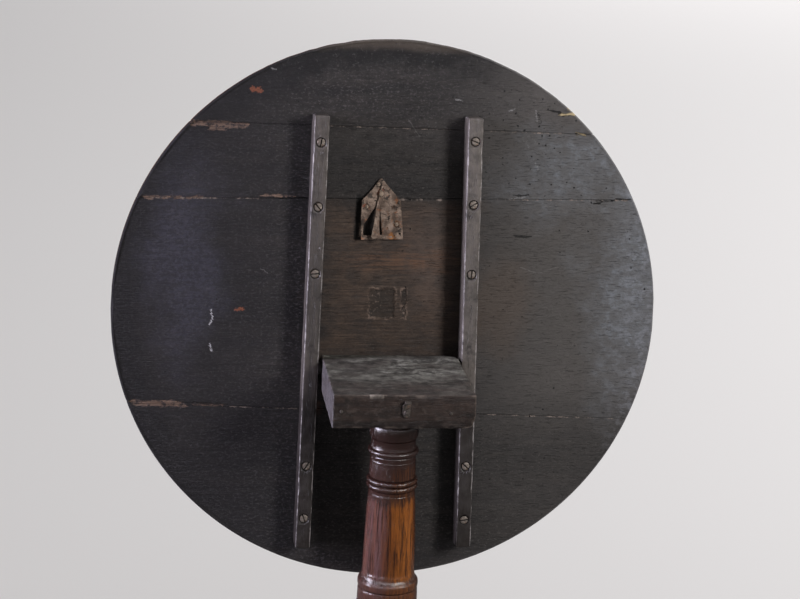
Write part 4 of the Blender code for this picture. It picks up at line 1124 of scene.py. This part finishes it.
def cove(radius_top, radius_bottom, dip, top, bottom, steps=12):
    rows = []
    for i in range(steps + 1):
        share = i / steps
        radius = radius_top + (radius_bottom - radius_top) * share - dip * sin(pi * share)
        rows.append((radius, top + (bottom - top) * share))
    return rows


def pillar():
    """The turned column. The heights of its upper turnings are measured from the pivot."""
    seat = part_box("pivot_block")[0].z - PIVOT.z
    rows = [(0.0, seat + 0.02), (0.0185, seat + 0.02), (0.0185, seat + 0.0005), (0.0345, seat + 0.0002)]
    rows += [(0.0358, seat - 0.0012), (0.036, seat - 0.007)]
    rows += cove(0.0355, 0.0325, 0.0025, seat - 0.008, -0.052)
    rows += bead(0.0325, 0.0024, -0.053, -0.0735)
    rows += [(0.0306, -0.0742)]
    rows += cove(0.0323, 0.0326, 0.0009, -0.075, -0.0885)
    rows += bead(0.0324, 0.0038, -0.089, -0.0975, 16)
    rows += [(0.0308, -0.0982), (0.0322, -0.0995), (0.0322, -0.1), (0.0322, -0.1056), (0.0322, -0.106)]
    rows += [(0.0326, -0.1066), (0.0326, -0.1078)]
    rows += [(0.0321, -0.1084), (0.0322, -0.1092), (0.0327, -0.118), (0.033, -0.1306), (0.033, -0.131)]
    rows += [(0.0308, -0.1322)]
    rows += bead(0.0324, 0.004, -0.133, -0.14)
    rows += [(0.0306, -0.1404)]
    rows += bead(0.0324, 0.0038, -0.1408, -0.1486)
    rows += [(0.031, -0.1492), (0.0331, -0.1505), (0.0331, -0.151), (0.0331, -0.1541), (0.0331, -0.1545)]
    rows += [(0.0326, -0.1552), (0.0332, -0.156), (0.0332, -0.1565)]
    rows += [(0.0332 + 0.0041 * share + 0.0005 * sin(pi * share), -0.156 - 0.119 * share)
             for share in (i / 24 for i in range(1, 25))]
    rows += cove(0.0378, 0.0424, 0.0012, -0.276, -0.287)
    rows += bead(0.0425, 0.0011, -0.2872, -0.2975)
    rows += [(0.04, -0.2982), (0.0422, -0.2992)]
    rows = [(radius, PIVOT.z + height) for radius, height in rows]
    rows += [(0.043, 0.37), (0.0432, 0.354), (0.0428, 0.3528), (0.0432, 0.3516)]
    rows += smooth_curve([(0.0432, 0.35), (0.0462, 0.34), (0.0492, 0.329), (0.0507, 0.316), (0.0502, 0.304),
                          (0.047, 0.292), (0.042, 0.282), (0.0385, 0.2765), (0.037, 0.274)], 6)
    rows += bead(0.037, 0.0058, 0.273, 0.2622)
    rows += [(0.0362, 0.2614), (0.0368, 0.259), (0.04, 0.2535), (0.0436, 0.25), (0.0449, 0.2478)]
    rows += [(0.045, 0.244), (0.0443, 0.2432), (0.0443, 0.2418), (0.045, 0.241)]
    base = PILLAR_LOW.z
    rows += [(0.045, base + 0.09), (0.045, base + 0.05), (0.045, base + 0.0022), (0.0442, base + 0.0006)]
    rows += [(0.0425, base), (0.0, base)]
    radii = [radius for radius, height in rows]
    # Painted shade in the grooves between the turnings.
    hollow_shade = []
    for i, radius in enumerate(radii):
        around = radii[max(0, i - 3):i + 4]
        hollow_shade.append(min(1.0, max(0.0, (max(around) - radius) / 0.0022 - 0.25)))
    obj = lathe("column", rows, PILLAR, PILLAR_OAK, 128, {"hollow_shade": hollow_shade}, roughen=0.00035)
    replace(obj, "base", "pillar_oak", "pillar")


def smooth_curve(points, steps):
    """A smooth line through points, by Catmull-Rom."""
    made = []
    for i in range(len(points) - 1):
        before = Vector(points[max(i - 1, 0)])
        first, second = Vector(points[i]), Vector(points[i + 1])
        after = Vector(points[min(i + 2, len(points) - 1)])
        for step in range(steps):
            t = step / steps
            square = 2 * before - 5 * first + 4 * second - after
            cube = 3 * first - before - 3 * second + after
            made.append(tuple(0.5 * (2 * first + (second - before) * t + square * t * t + cube * t ** 3)))
    made.append(tuple(points[-1]))
    return made


def mesh_box(name, low, high, material, place):
    bm = bmesh.new()
    size, middle = Vector(high) - Vector(low), (Vector(high) + Vector(low)) / 2
    bmesh.ops.create_cube(bm, size=1, matrix=Matrix.Translation(middle) @ Matrix.Diagonal((*size, 1)))
    mesh = bpy.data.meshes.new(name)
    bm.to_mesh(mesh)
    bm.free()
    mesh.materials.append(material)
    return in_scene(name, mesh, place)


def cut_slot(obj, width, depth, length, top, degrees, place):
    cut = mesh_box("slot", (-length, -width, top - depth), (length, width, top + 0.01), SCREW_IRON,
                   place @ around_z(degrees))
    carve(obj, cut)


def darken_slot(obj, degrees, half_width):
    """Gives the walls and floor of a screw's slot the dark grime that fills it, together with painted shade.
    """
    obj.data.materials.append(GRIME_AND_SHADE)
    turn = Matrix.Rotation(radians(-degrees), 3, "Z")
    top = max(vert.co.z for vert in obj.data.vertices)
    for face in obj.data.polygons:
        spot = turn @ face.center
        wall = abs(spot.y) < half_width * 1.1 and spot.z < top - 0.0003 and abs(face.normal.z) < 0.9
        floor = abs(spot.y) < half_width * 0.9 and top - 0.003 < spot.z < top - 0.0005
        if wall or floor:
            face.material_index = 1


SCREW_HEAD = 0.0059


def bearer_screw(side, number):
    """A hand-filed wood screw: a slightly domed, slotted head sitting in its countersink."""
    node = f"bearer_screw_{side}_{number}"
    place = screw_place(side, number)
    end = points_in(node, TOP)[:, 2].min() - place.z
    tilt = Matrix.Rotation(radians(1.5 * ((number * 7 + len(side)) % 3 - 1)), 4, "X")
    matrix = TOP @ Matrix.Translation(place) @ tilt
    head, shank = SCREW_HEAD, 0.0026
    profile = [(0, 0.0002), (head * 0.55, 0.0001), (head * 0.85, -0.0001), (head * 0.97, -0.0004)]
    profile += [(head, -0.0009), (0.0028, -0.0044), (shank, -0.006)]
    profile += [(shank, end + 0.006), (0.0004, end), (0, end)]
    obj = lathe(f"wood_screw_{side}_{number}", profile, matrix, SCREW_IRON, 40, roughen=0.00012)
    degrees = 25 + 53 * number + (0 if side == "left" else 80)
    cut_slot(obj, 0.00085, 0.0026, 0.02, 0.0002, degrees, matrix)
    darken_slot(obj, degrees, 0.0008)
    replace(obj, "top", "screw_iron", node)


def small_head(name, node, body, slot, place, head, height,
               material=BLACK_IRON, slot_turn=None, shank=0.0011, length=0.01):
    """A round-headed screw or nail standing a little proud of what it holds."""
    profile = [(0, height), (head * 0.45, height * 0.92), (head * 0.8, height * 0.62)]
    profile += [(head, height * 0.15), (head * 0.97, -0.0001)]
    profile += [(shank, -0.0003), (shank, -length * 0.6), (0, -length)]
    obj = lathe(name, profile, place, material, 28, roughen=0.00025)
    if slot_turn is not None:
        cut_slot(obj, 0.00034, height * 0.55, 0.01, height, slot_turn, place)
    replace(obj, body, slot, node)


# Flat iron


def arc(centre_x, centre_y, radius, start, end, steps):
    angles = [radians(start + (end - start) * i / steps) for i in range(steps + 1)]
    return [(centre_x + radius * cos(a), centre_y + radius * sin(a)) for a in angles]


def slab(name, loops, low, high, place, material, cell=0.0018):
    """A flat outline with holes, between two heights, meshed finely enough to be hammered and bent."""
    curve = bpy.data.curves.new(name, "CURVE")
    curve.dimensions = "2D"
    curve.fill_mode = "BOTH"
    curve.extrude = (high - low) / 2
    for loop in loops:
        spline = curve.splines.new("POLY")
        spline.points.add(len(loop) - 1)
        for point, (x, y) in zip(spline.points, loop):
            point.co = (x, y, 0, 1)
        spline.use_cyclic_u = True
    flat = in_scene(name, curve)
    bpy.context.view_layer.update()
    mesh = bpy.data.meshes.new_from_object(flat.evaluated_get(bpy.context.evaluated_depsgraph_get()))
    bpy.data.objects.remove(flat, do_unlink=True)
    mesh.materials.clear()
    mesh.materials.append(material)
    obj = in_scene(name, mesh, place)

    def change(bm):
        bmesh.ops.remove_doubles(bm, verts=bm.verts, dist=0.00001)
        bmesh.ops.translate(bm, vec=(0, 0, (low + high) / 2), verts=bm.verts)
        for axis, normal in ((0, (1, 0, 0)), (1, (0, 1, 0))):
            values = [point[axis] for loop in loops for point in loop]
            for cut in np.arange(min(values) + cell, max(values), cell):
                geometry = bm.verts[:] + bm.edges[:] + bm.faces[:]
                origin = tuple(float(cut) * share for share in normal)
                bmesh.ops.bisect_plane(bm, geom=geometry, dist=1e-6, plane_co=origin, plane_no=normal)
        bmesh.ops.recalc_face_normals(bm, faces=bm.faces)

    edit(obj, change)
    return obj


def forge(obj, edge, dents, scale, new_height=None):
    """Finishes a piece of iron: softened edges, hammer dents, and a bend that gives each point its height."""
    shape(obj, "BEVEL", width=edge, segments=2, limit_method="ANGLE", angle_limit=radians(35),
          harden_normals=False)
    for vert in obj.data.vertices:
        vert.co += Vector((rough_noise(vert.co + Vector((3, 0, 0)), scale, dents * 0.6),
                           rough_noise(vert.co + Vector((0, 5, 0)), scale, dents * 0.6),
                           rough_noise(vert.co, scale, dents)))
        if new_height:
            vert.co.z = new_height(vert.co)
    obj.data.shade_smooth()
    obj.data.set_sharp_from_angle(angle=radians(40))


def plate_lift(u, v):
    """The plate has bent off the wood along its left edge and its foot."""
    leftward = max(0.0, -0.026 - u)
    downward = max(0.0, 0.212 - v)
    return 10.0 * leftward ** 2 + 0.06 * leftward + 3.0 * downward ** 2


def catch_plate():
    """The pointed plate, cut out by hand, with a fan-shaped window for the latch."""
    foot, left, right, peak = PLATE_LOW[1], PLATE_LOW[0], PLATE_HIGH[0], PLATE_HIGH[1]
    shoulder = 0.241
    outline = [(right, foot + 0.0006), (right - 0.0012, 0.208), (right - 0.0045, shoulder)]
    outline += [(0.001, 0.252), (RIVET.x + 0.0075, 0.264), (RIVET.x + 0.002, peak - 0.0008), (RIVET.x, peak)]
    outline += [(RIVET.x - 0.003, peak - 0.0022), (-0.03, 0.256), (left + 0.0008, shoulder), (left, 0.215)]
    outline += [(left + 0.0006, foot)]
    window = [(-0.0195, 0.24), (-0.031, 0.2225), (-0.0415, 0.205), (-0.0422, 0.1965), (-0.042, 0.1905),
              (-0.0142, 0.19)]
    holes = [arc(0.0108, 0.193, 0.0017, 360, 30, 11), arc(-0.0052, 0.2172, 0.001, 360, 30, 11)]
    obj = slab("latch_plate", [outline, window, *holes], UNDERSIDE + 0.0003, PLATE_HIGH[2], TOP, PLATE_IRON)
    forge(obj, 0.0005, 0.00035, 120, lambda at: max(at.z + plate_lift(at.x, at.y), UNDERSIDE + 0.0002))
    replace(obj, "top", "catch_iron", "catch_plate")


def latch_rise(v):
    share = min(max((0.238 - v) / 0.034, 0), 1)
    return 0.008 * share * share * (3 - 2 * share)


def latch():
    """The tapered latch bar: bent away from the plate, with its beak along its foot."""
    points = points_in("latch_bar", TOP)
    tip, foot = points[:, 0].max(), points[:, 1].min()
    low = PLATE_HIGH[2] + 0.0003
    left = -0.031
    u, v = RIVET.x, RIVET.y
    outline = [(tip, foot + 0.0015), (tip - 0.0003, foot + 0.0042), (-0.019, foot + 0.0058), (-0.02, 0.205)]
    outline += [(u - 0.0014, 0.238)]
    outline += arc(u, v, 0.0047, -60, 75, 10)
    outline += [(u + 0.0029, v + 0.0108), (u + 0.0003, v + 0.0113), (u - 0.0008, v + 0.0055)]
    outline += arc(u, v, 0.0047, 120, 235, 10)
    outline += [(u - 0.005, 0.238), (-0.0282, 0.205), (left, foot + 0.003), (left + 0.002, foot + 0.0004)]
    obj = slab("latch", [outline], low, low + 0.0022, TOP, CATCH_IRON, 0.0015)
    forge(obj, 0.0004, 0.00018, 160, lambda at: at.z + latch_rise(at.y))
    replace(obj, "latch", "catch_iron", "latch_bar")


def catch_fixings():
    """The rivet that the latch turns on, and the plate's three screws and one nail."""
    profile = [(0, 0.0), (0.0016, -0.0001), (0.0028, -0.0006), (0.0037, -0.0016), (0.0038, -0.0021)]
    profile += [(0.0019, -0.0022), (0.0019, -0.0075), (0.0028, -0.008), (0, -0.0095)]
    obj = lathe("rivet", profile, TOP @ Matrix.Translation(RIVET), HEAD_IRON, 36, roughen=0.0004)
    replace(obj, "top", "catch_iron", "catch_rivet")
    for number, (place, spot) in enumerate(CATCH_SCREWS.items()):
        face = Vector((spot.x, spot.y, PLATE_HIGH[2] + plate_lift(spot.x, spot.y)))
        small_head(f"plate_screw_{place}", f"catch_screw_{place}", "top", "catch_iron",
                   TOP @ Matrix.Translation(face), 0.003, 0.002, HEAD_IRON, 35 + 60 * number)
    face = TOP @ Matrix.Translation((CATCH_NAIL.x, CATCH_NAIL.y, PLATE_HIGH[2]))
    small_head("plate_nail", "catch_nail", "top", "catch_iron", face, 0.0021, 0.0011)


def facing_front(x, y, z):
    """A place on the block's front, with z pointing out of it."""
    return Matrix.Translation((x, y, z)) @ Matrix.Rotation(pi / 2, 4, "X")


def keeper():
    """The keeper: a forged strap nailed to the block's front, with its lip turned out at the top."""
    low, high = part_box("keeper")
    half = (high.x - low.x) / 2
    place = facing_front((low.x + high.x) / 2, high.y, high.z)
    outline = arc(0, low.z + half - high.z, half, 180, 360, 14)
    outline += [(half - 0.0004, -0.012), (half, -0.0003), (-half + 0.0032, 0)]
    outline += [(-half + 0.0028, -0.0045), (-half + 0.0004, -0.0062)]
    obj = slab("keeper_strap", [outline], 0, 0.002, place, BLACK_IRON, 0.0012)
    lip_low = (-half + 0.0031, -0.0023, 0.0005)
    lip_high = (half - 0.0001, -0.0001, high.y - low.y - 0.0003)
    carve(obj, mesh_box("lip", lip_low, lip_high, BLACK_IRON, place), "UNION")
    forge(obj, 0.0004, 0.0003, 200)
    replace(obj, "base", "forged_iron", "keeper")


def front_nail(name, node, proud, head, height):
    """A nail in the block's front, standing proud of the keeper's back."""
    low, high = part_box(node)
    spot = facing_front((low.x + high.x) / 2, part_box("keeper")[1].y - proud, (low.z + high.z) / 2)
    small_head(name, node, "base", "forged_iron", spot, head, height)


# Legs and spider plate


LEG_DIRECTIONS = {"front": -90, "right": 30, "left": 150}
LEG_BASE = PILLAR_LOW.z
FOOT_REACH = PILLAR_Y * 4
FOOT_RADIUS = 0.034
ROOT_TOP = LEG_BASE + 0.095
# Cross sections out along the leg: reach from the pillar's axis, top, bottom and thickness
LEG_SECTIONS = [
    (0.025, ROOT_TOP, LEG_BASE - 0.006, 0.042),
    (0.057, ROOT_TOP + 0.002, LEG_BASE - 0.006, 0.042),
    (0.098, ROOT_TOP, LEG_BASE - 0.004, 0.04),
    (0.142, ROOT_TOP - 0.022, LEG_BASE + 0.006, 0.037),
    (0.186, 0.156, 0.093, 0.034),
    (0.222, 0.106, 0.06, 0.031),
    (0.248, 0.066, 0.032, 0.03),
    (0.276, 0.04, 0.012, 0.034),
    (0.306, 0.03, 0.004, 0.038),
]


def leg_cage(name, place):
    verts, faces = [], []
    last = len(LEG_SECTIONS) - 1
    for number, (reach, top, bottom, thickness) in enumerate(LEG_SECTIONS):
        before, after = LEG_SECTIONS[max(number - 1, 0)], LEG_SECTIONS[min(number + 1, last)]
        run = Vector((after[0] - before[0], (after[1] + after[2] - before[1] - before[2]) / 2))
        half, middle = (top - bottom) / 2, (top + bottom) / 2
        lean = half * run.y / run.length
        for way, side in ((-1, 1), (1, 1), (1, -1), (-1, -1)):
            verts.append((reach + way * lean, side * thickness / 2, middle - way * half))
    for ring in range(0, last * 4, 4):
        for i in range(4):
            j = (i + 1) % 4
            faces.append([ring + j, ring + i, ring + 4 + i, ring + 4 + j])
    faces.append([0, 1, 2, 3])
    faces.append([last * 4 + 3, last * 4 + 2, last * 4 + 1, last * 4])
    obj = mesh_piece(name, verts, faces, place, LEG_OAK)
    weld(obj)
    return shape(obj, "SUBSURF", levels=3, render_levels=3)


def leg(direction, degrees):
    """A carved cabriole leg running down into its pad foot."""
    place = PILLAR @ around_z(degrees)
    obj = leg_cage(f"cabriole_{direction}", place)
    profile = [(share * FOOT_RADIUS, height) for share, height in (
        (0, 0.0155), (0.45, 0.0158), (0.7, 0.0152), (0.9, 0.013), (0.985, 0.0095),
        (1, 0.0075), (0.985, 0.0045), (0.93, 0.0015), (0.88, 0), (0, 0))]
    join(obj, lathe("pad", profile, place @ Matrix.Translation((FOOT_REACH, 0, 0)), LEG_OAK, 64))
    shape(obj, "REMESH", mode="VOXEL", voxel_size=0.002)
    shape(obj, "SMOOTH", factor=0.5, iterations=6)
    hollow_shade = []
    normals = [vert.normal.copy() for vert in obj.data.vertices]
    for vert, normal in zip(obj.data.vertices, normals):
        point = vert.co
        dent = rough_noise(point, 28, 0.0006) + rough_noise(point, 110, 0.0002)
        point += normal * (dent - 0.0004)
        point.z = max(point.z, 0.0)
        if point.x < 0.094:
            point.z = max(point.z, LEG_BASE + 0.0002)
        # Painted shade where the leg meets the pillar and in the crease at its ankle.
        root = max(0.0, 1 - (point.x - 0.045) / 0.006) if point.x < 0.06 else 0.0
        ankle = max(0.0, 1 - abs(point.z - 0.017) / 0.004) * (1 if point.x > 0.25 else 0)
        hollow_shade.append(min(1.0, root + ankle * 0.6))
    obj.data.attributes.new("hollow_shade", "FLOAT", "POINT").data.foreach_set("value", hollow_shade)
    obj.data.materials.clear()
    obj.data.materials.append(LEG_OAK)
    obj.data.shade_smooth()
    replace(obj, "base", "leg_oak", f"leg_{direction}")


def spider():
    """The three-armed iron plate under the pillar, and its clout nails."""
    low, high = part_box("spider_plate")
    outline = []
    reach, half = 0.088, 0.01
    for degrees in LEG_DIRECTIONS.values():
        arm = [(0.026, -half * 1.05), (0.05, -half * 0.82), (reach - half, -half * 0.95)]
        arm += arc(reach - half, 0, half * 0.95, -90, 90, 12)[1:-1]
        arm += [(reach - half, half * 0.95), (0.05, half * 0.82), (0.026, half * 1.05)]
        outline += [tuple((around_z(degrees) @ Vector((x, y, 0)))[:2]) for x, y in arm]
    obj = slab("spider_iron", [outline], low.z, high.z, PILLAR, BLACK_IRON, 0.004)
    forge(obj, 0.0005, 0.0003, 90, lambda at: min(at.z, high.z))
    replace(obj, "base", "forged_iron", "spider_plate")
    for place in ("centre", "front", "left", "right"):
        nail_low, nail_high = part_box(f"spider_nail_{place}")
        x, y = (nail_low.x + nail_high.x) / 2, (nail_low.y + nail_high.y) / 2
        spot = Matrix.Translation((x, y, low.z - 0.0002)) @ Matrix.Rotation(pi, 4, "X")
        small_head(f"clout_nail_{place}", f"spider_nail_{place}", "base", "forged_iron", spot, 0.0045, 0.0021,
                   shank=0.0013, length=0.016)


# Room, light and camera


WARM_WHITE = (1.0, 0.995, 0.985)


def backdrop():
    """A wide pale floor."""
    size = 60
    obj = mesh_piece("floor", [(-size, -size, 0), (size, -size, 0), (size, size, 0), (-size, size, 0)],
                     [[0, 1, 2, 3]], Matrix.Identity(4))
    paint = bpy.data.materials.new("floor_paint")
    paint.use_nodes = True
    surface = paint.node_tree.nodes["Principled BSDF"]
    surface.inputs["Base Color"].default_value = (0.8, 0.78, 0.785, 1)
    surface.inputs["Roughness"].default_value = 0.9
    surface.inputs["Specular IOR Level"].default_value = 0.1
    obj.data.materials.append(paint)
    obj.visible_glossy = False


def area_light(name, spot, aim, size, power, colour, lit):
    """A soft rectangular light that lights only a given collection."""
    light = bpy.data.lights.new(name, "AREA")
    light.shape = "RECTANGLE"
    light.size, light.size_y = size
    light.energy = power
    light.color = colour
    obj = in_scene(name, light)
    obj.location = spot
    obj.rotation_mode = "QUATERNION"
    obj.rotation_quaternion = (Vector(aim) - Vector(spot)).to_track_quat("-Z", "Y")
    obj.visible_camera = False
    obj.light_linking.receiver_collection = lit


def receivers(name, objects):
    """A collection that a light may be limited to."""
    made = bpy.data.collections.new(name)
    for obj in objects:
        made.objects.link(obj)
    return made


def lighting():
    """Windows at the right front and the left, a high one for the polish, and soft light for the floor."""
    meshes = [obj for obj in bpy.context.scene.objects if obj.type == "MESH"]
    table = receivers("table", [obj for obj in meshes if obj.name != "floor"])
    turned = receivers("turned", [obj for obj in meshes if obj.name.startswith(("column", "cabriole"))])
    floor = receivers("ground", [bpy.data.objects["floor"]])
    middle, column = (0, PIVOT.y, PIVOT.z), (PILLAR_X, PILLAR_Y, 0.5)
    for row in (
        ("window_right", (1.55, -1.75, 1.75), middle, (0.6, 0.9), 66, (1.0, 0.985, 0.965), table),
        ("window_left", (-2.3, -0.06, 1.1), middle, (0.24, 1.6), 140, (0.86, 0.83, 1.0), table),
        ("behind", (1.8, 3.0, 2.4), middle, (1.4, 1.4), 45, (1.0, 0.98, 0.95), table),
        ("ceiling", (3.6, 3.5, 6.0), (3.0, 3.0, 0), (8.0, 8.0), 560, WARM_WHITE, table),
        ("window_high", (-1.3, -2.6, 2.0), column, (2.8, 0.9), 46, (0.97, 0.96, 1.0), turned),
        ("floor_wash", (6.0, 1.0, 6.0), (6.0, 1.0, 0), (8.0, 8.0), 565, WARM_WHITE, floor),
        ("floor_back", (4.5, 11.0, 5.0), (4.5, 11.0, 0), (6.0, 6.0), 270, WARM_WHITE, floor),
    ):
        area_light(*row)
    sky = bpy.data.lights.new("floor_sky", "SUN")
    sky.energy = 0.8
    sky.angle = radians(120)
    in_scene("floor_sky", sky).light_linking.receiver_collection = floor


def surroundings():
    """A pale room, brightest at eye level and dimmer overhead and underfoot."""
    world = bpy.data.worlds.new("pale_room")
    bpy.context.scene.world = world
    world.use_nodes = True
    tree = world.node_tree
    parts = tree.nodes.new("ShaderNodeSeparateXYZ")
    tree.links.new(tree.nodes.new("ShaderNodeTexCoord").outputs["Generated"], parts.inputs[0])
    strength = tree.nodes.new("ShaderNodeMath")
    strength.operation = "MULTIPLY"
    for socket, low, high, to_low, to_high in ((0, 0.0, 0.4, 0.5, 0.08), (1, -0.1, 0.0, 0.25, 1.0)):
        fade = tree.nodes.new("ShaderNodeMapRange")
        for name, value in zip(("From Min", "From Max", "To Min", "To Max"), (low, high, to_low, to_high)):
            fade.inputs[name].default_value = value
        tree.links.new(parts.outputs["Z"], fade.inputs["Value"])
        tree.links.new(fade.outputs[0], strength.inputs[socket])
    background = tree.nodes["Background"]
    background.inputs["Color"].default_value = (0.985, 0.985, 1.0, 1)
    tree.links.new(strength.outputs[0], background.inputs["Strength"])


def camera():
    """The viewer stands a little left of the table and looks slightly down, not quite level."""
    yaw, pitch, roll = radians(7.55), radians(15.44), radians(2.55)
    lens = bpy.data.cameras.new("viewer")
    lens.sensor_width = 36
    lens.lens = 103.5
    obj = in_scene("viewer", lens)
    obj.location = PIVOT + Vector((-0.404, -3.131, 0.975))
    turn = Matrix.Rotation(-yaw, 3, "Z") @ Matrix.Rotation(pi / 2 - pitch, 3, "X")
    obj.rotation_euler = (turn @ Matrix.Rotation(roll, 3, "Z")).to_euler()
    bpy.context.scene.camera = obj


board(1, UPPER_SEAM, None, 150, 30)
board(2, MIDDLE_SEAM, UPPER_SEAM, 170, 26)
board(3, LOWER_SEAM, MIDDLE_SEAM, 190, 56)
board(4, None, LOWER_SEAM, 170, 46)
for rail_side in RAILS:
    bearer(rail_side)
    for screw_number in range(1, 6):
        bearer_screw(rail_side, screw_number)
pivot_block()
keeper()
front_nail("keeper_rose", "keeper_nail", 0.0022, 0.0042, 0.0024)
for nail_side in ("left", "right"):
    front_nail(f"front_nail_{nail_side}", f"block_nail_{nail_side}", 0, 0.0025, 0.0013)
catch_plate()
latch()
catch_fixings()
pillar()
for leg_direction, leg_degrees in LEG_DIRECTIONS.items():
    leg(leg_direction, leg_degrees)
spider()
backdrop()
lighting()
surroundings()
camera()
bpy.context.scene.view_settings.view_transform = "Standard"
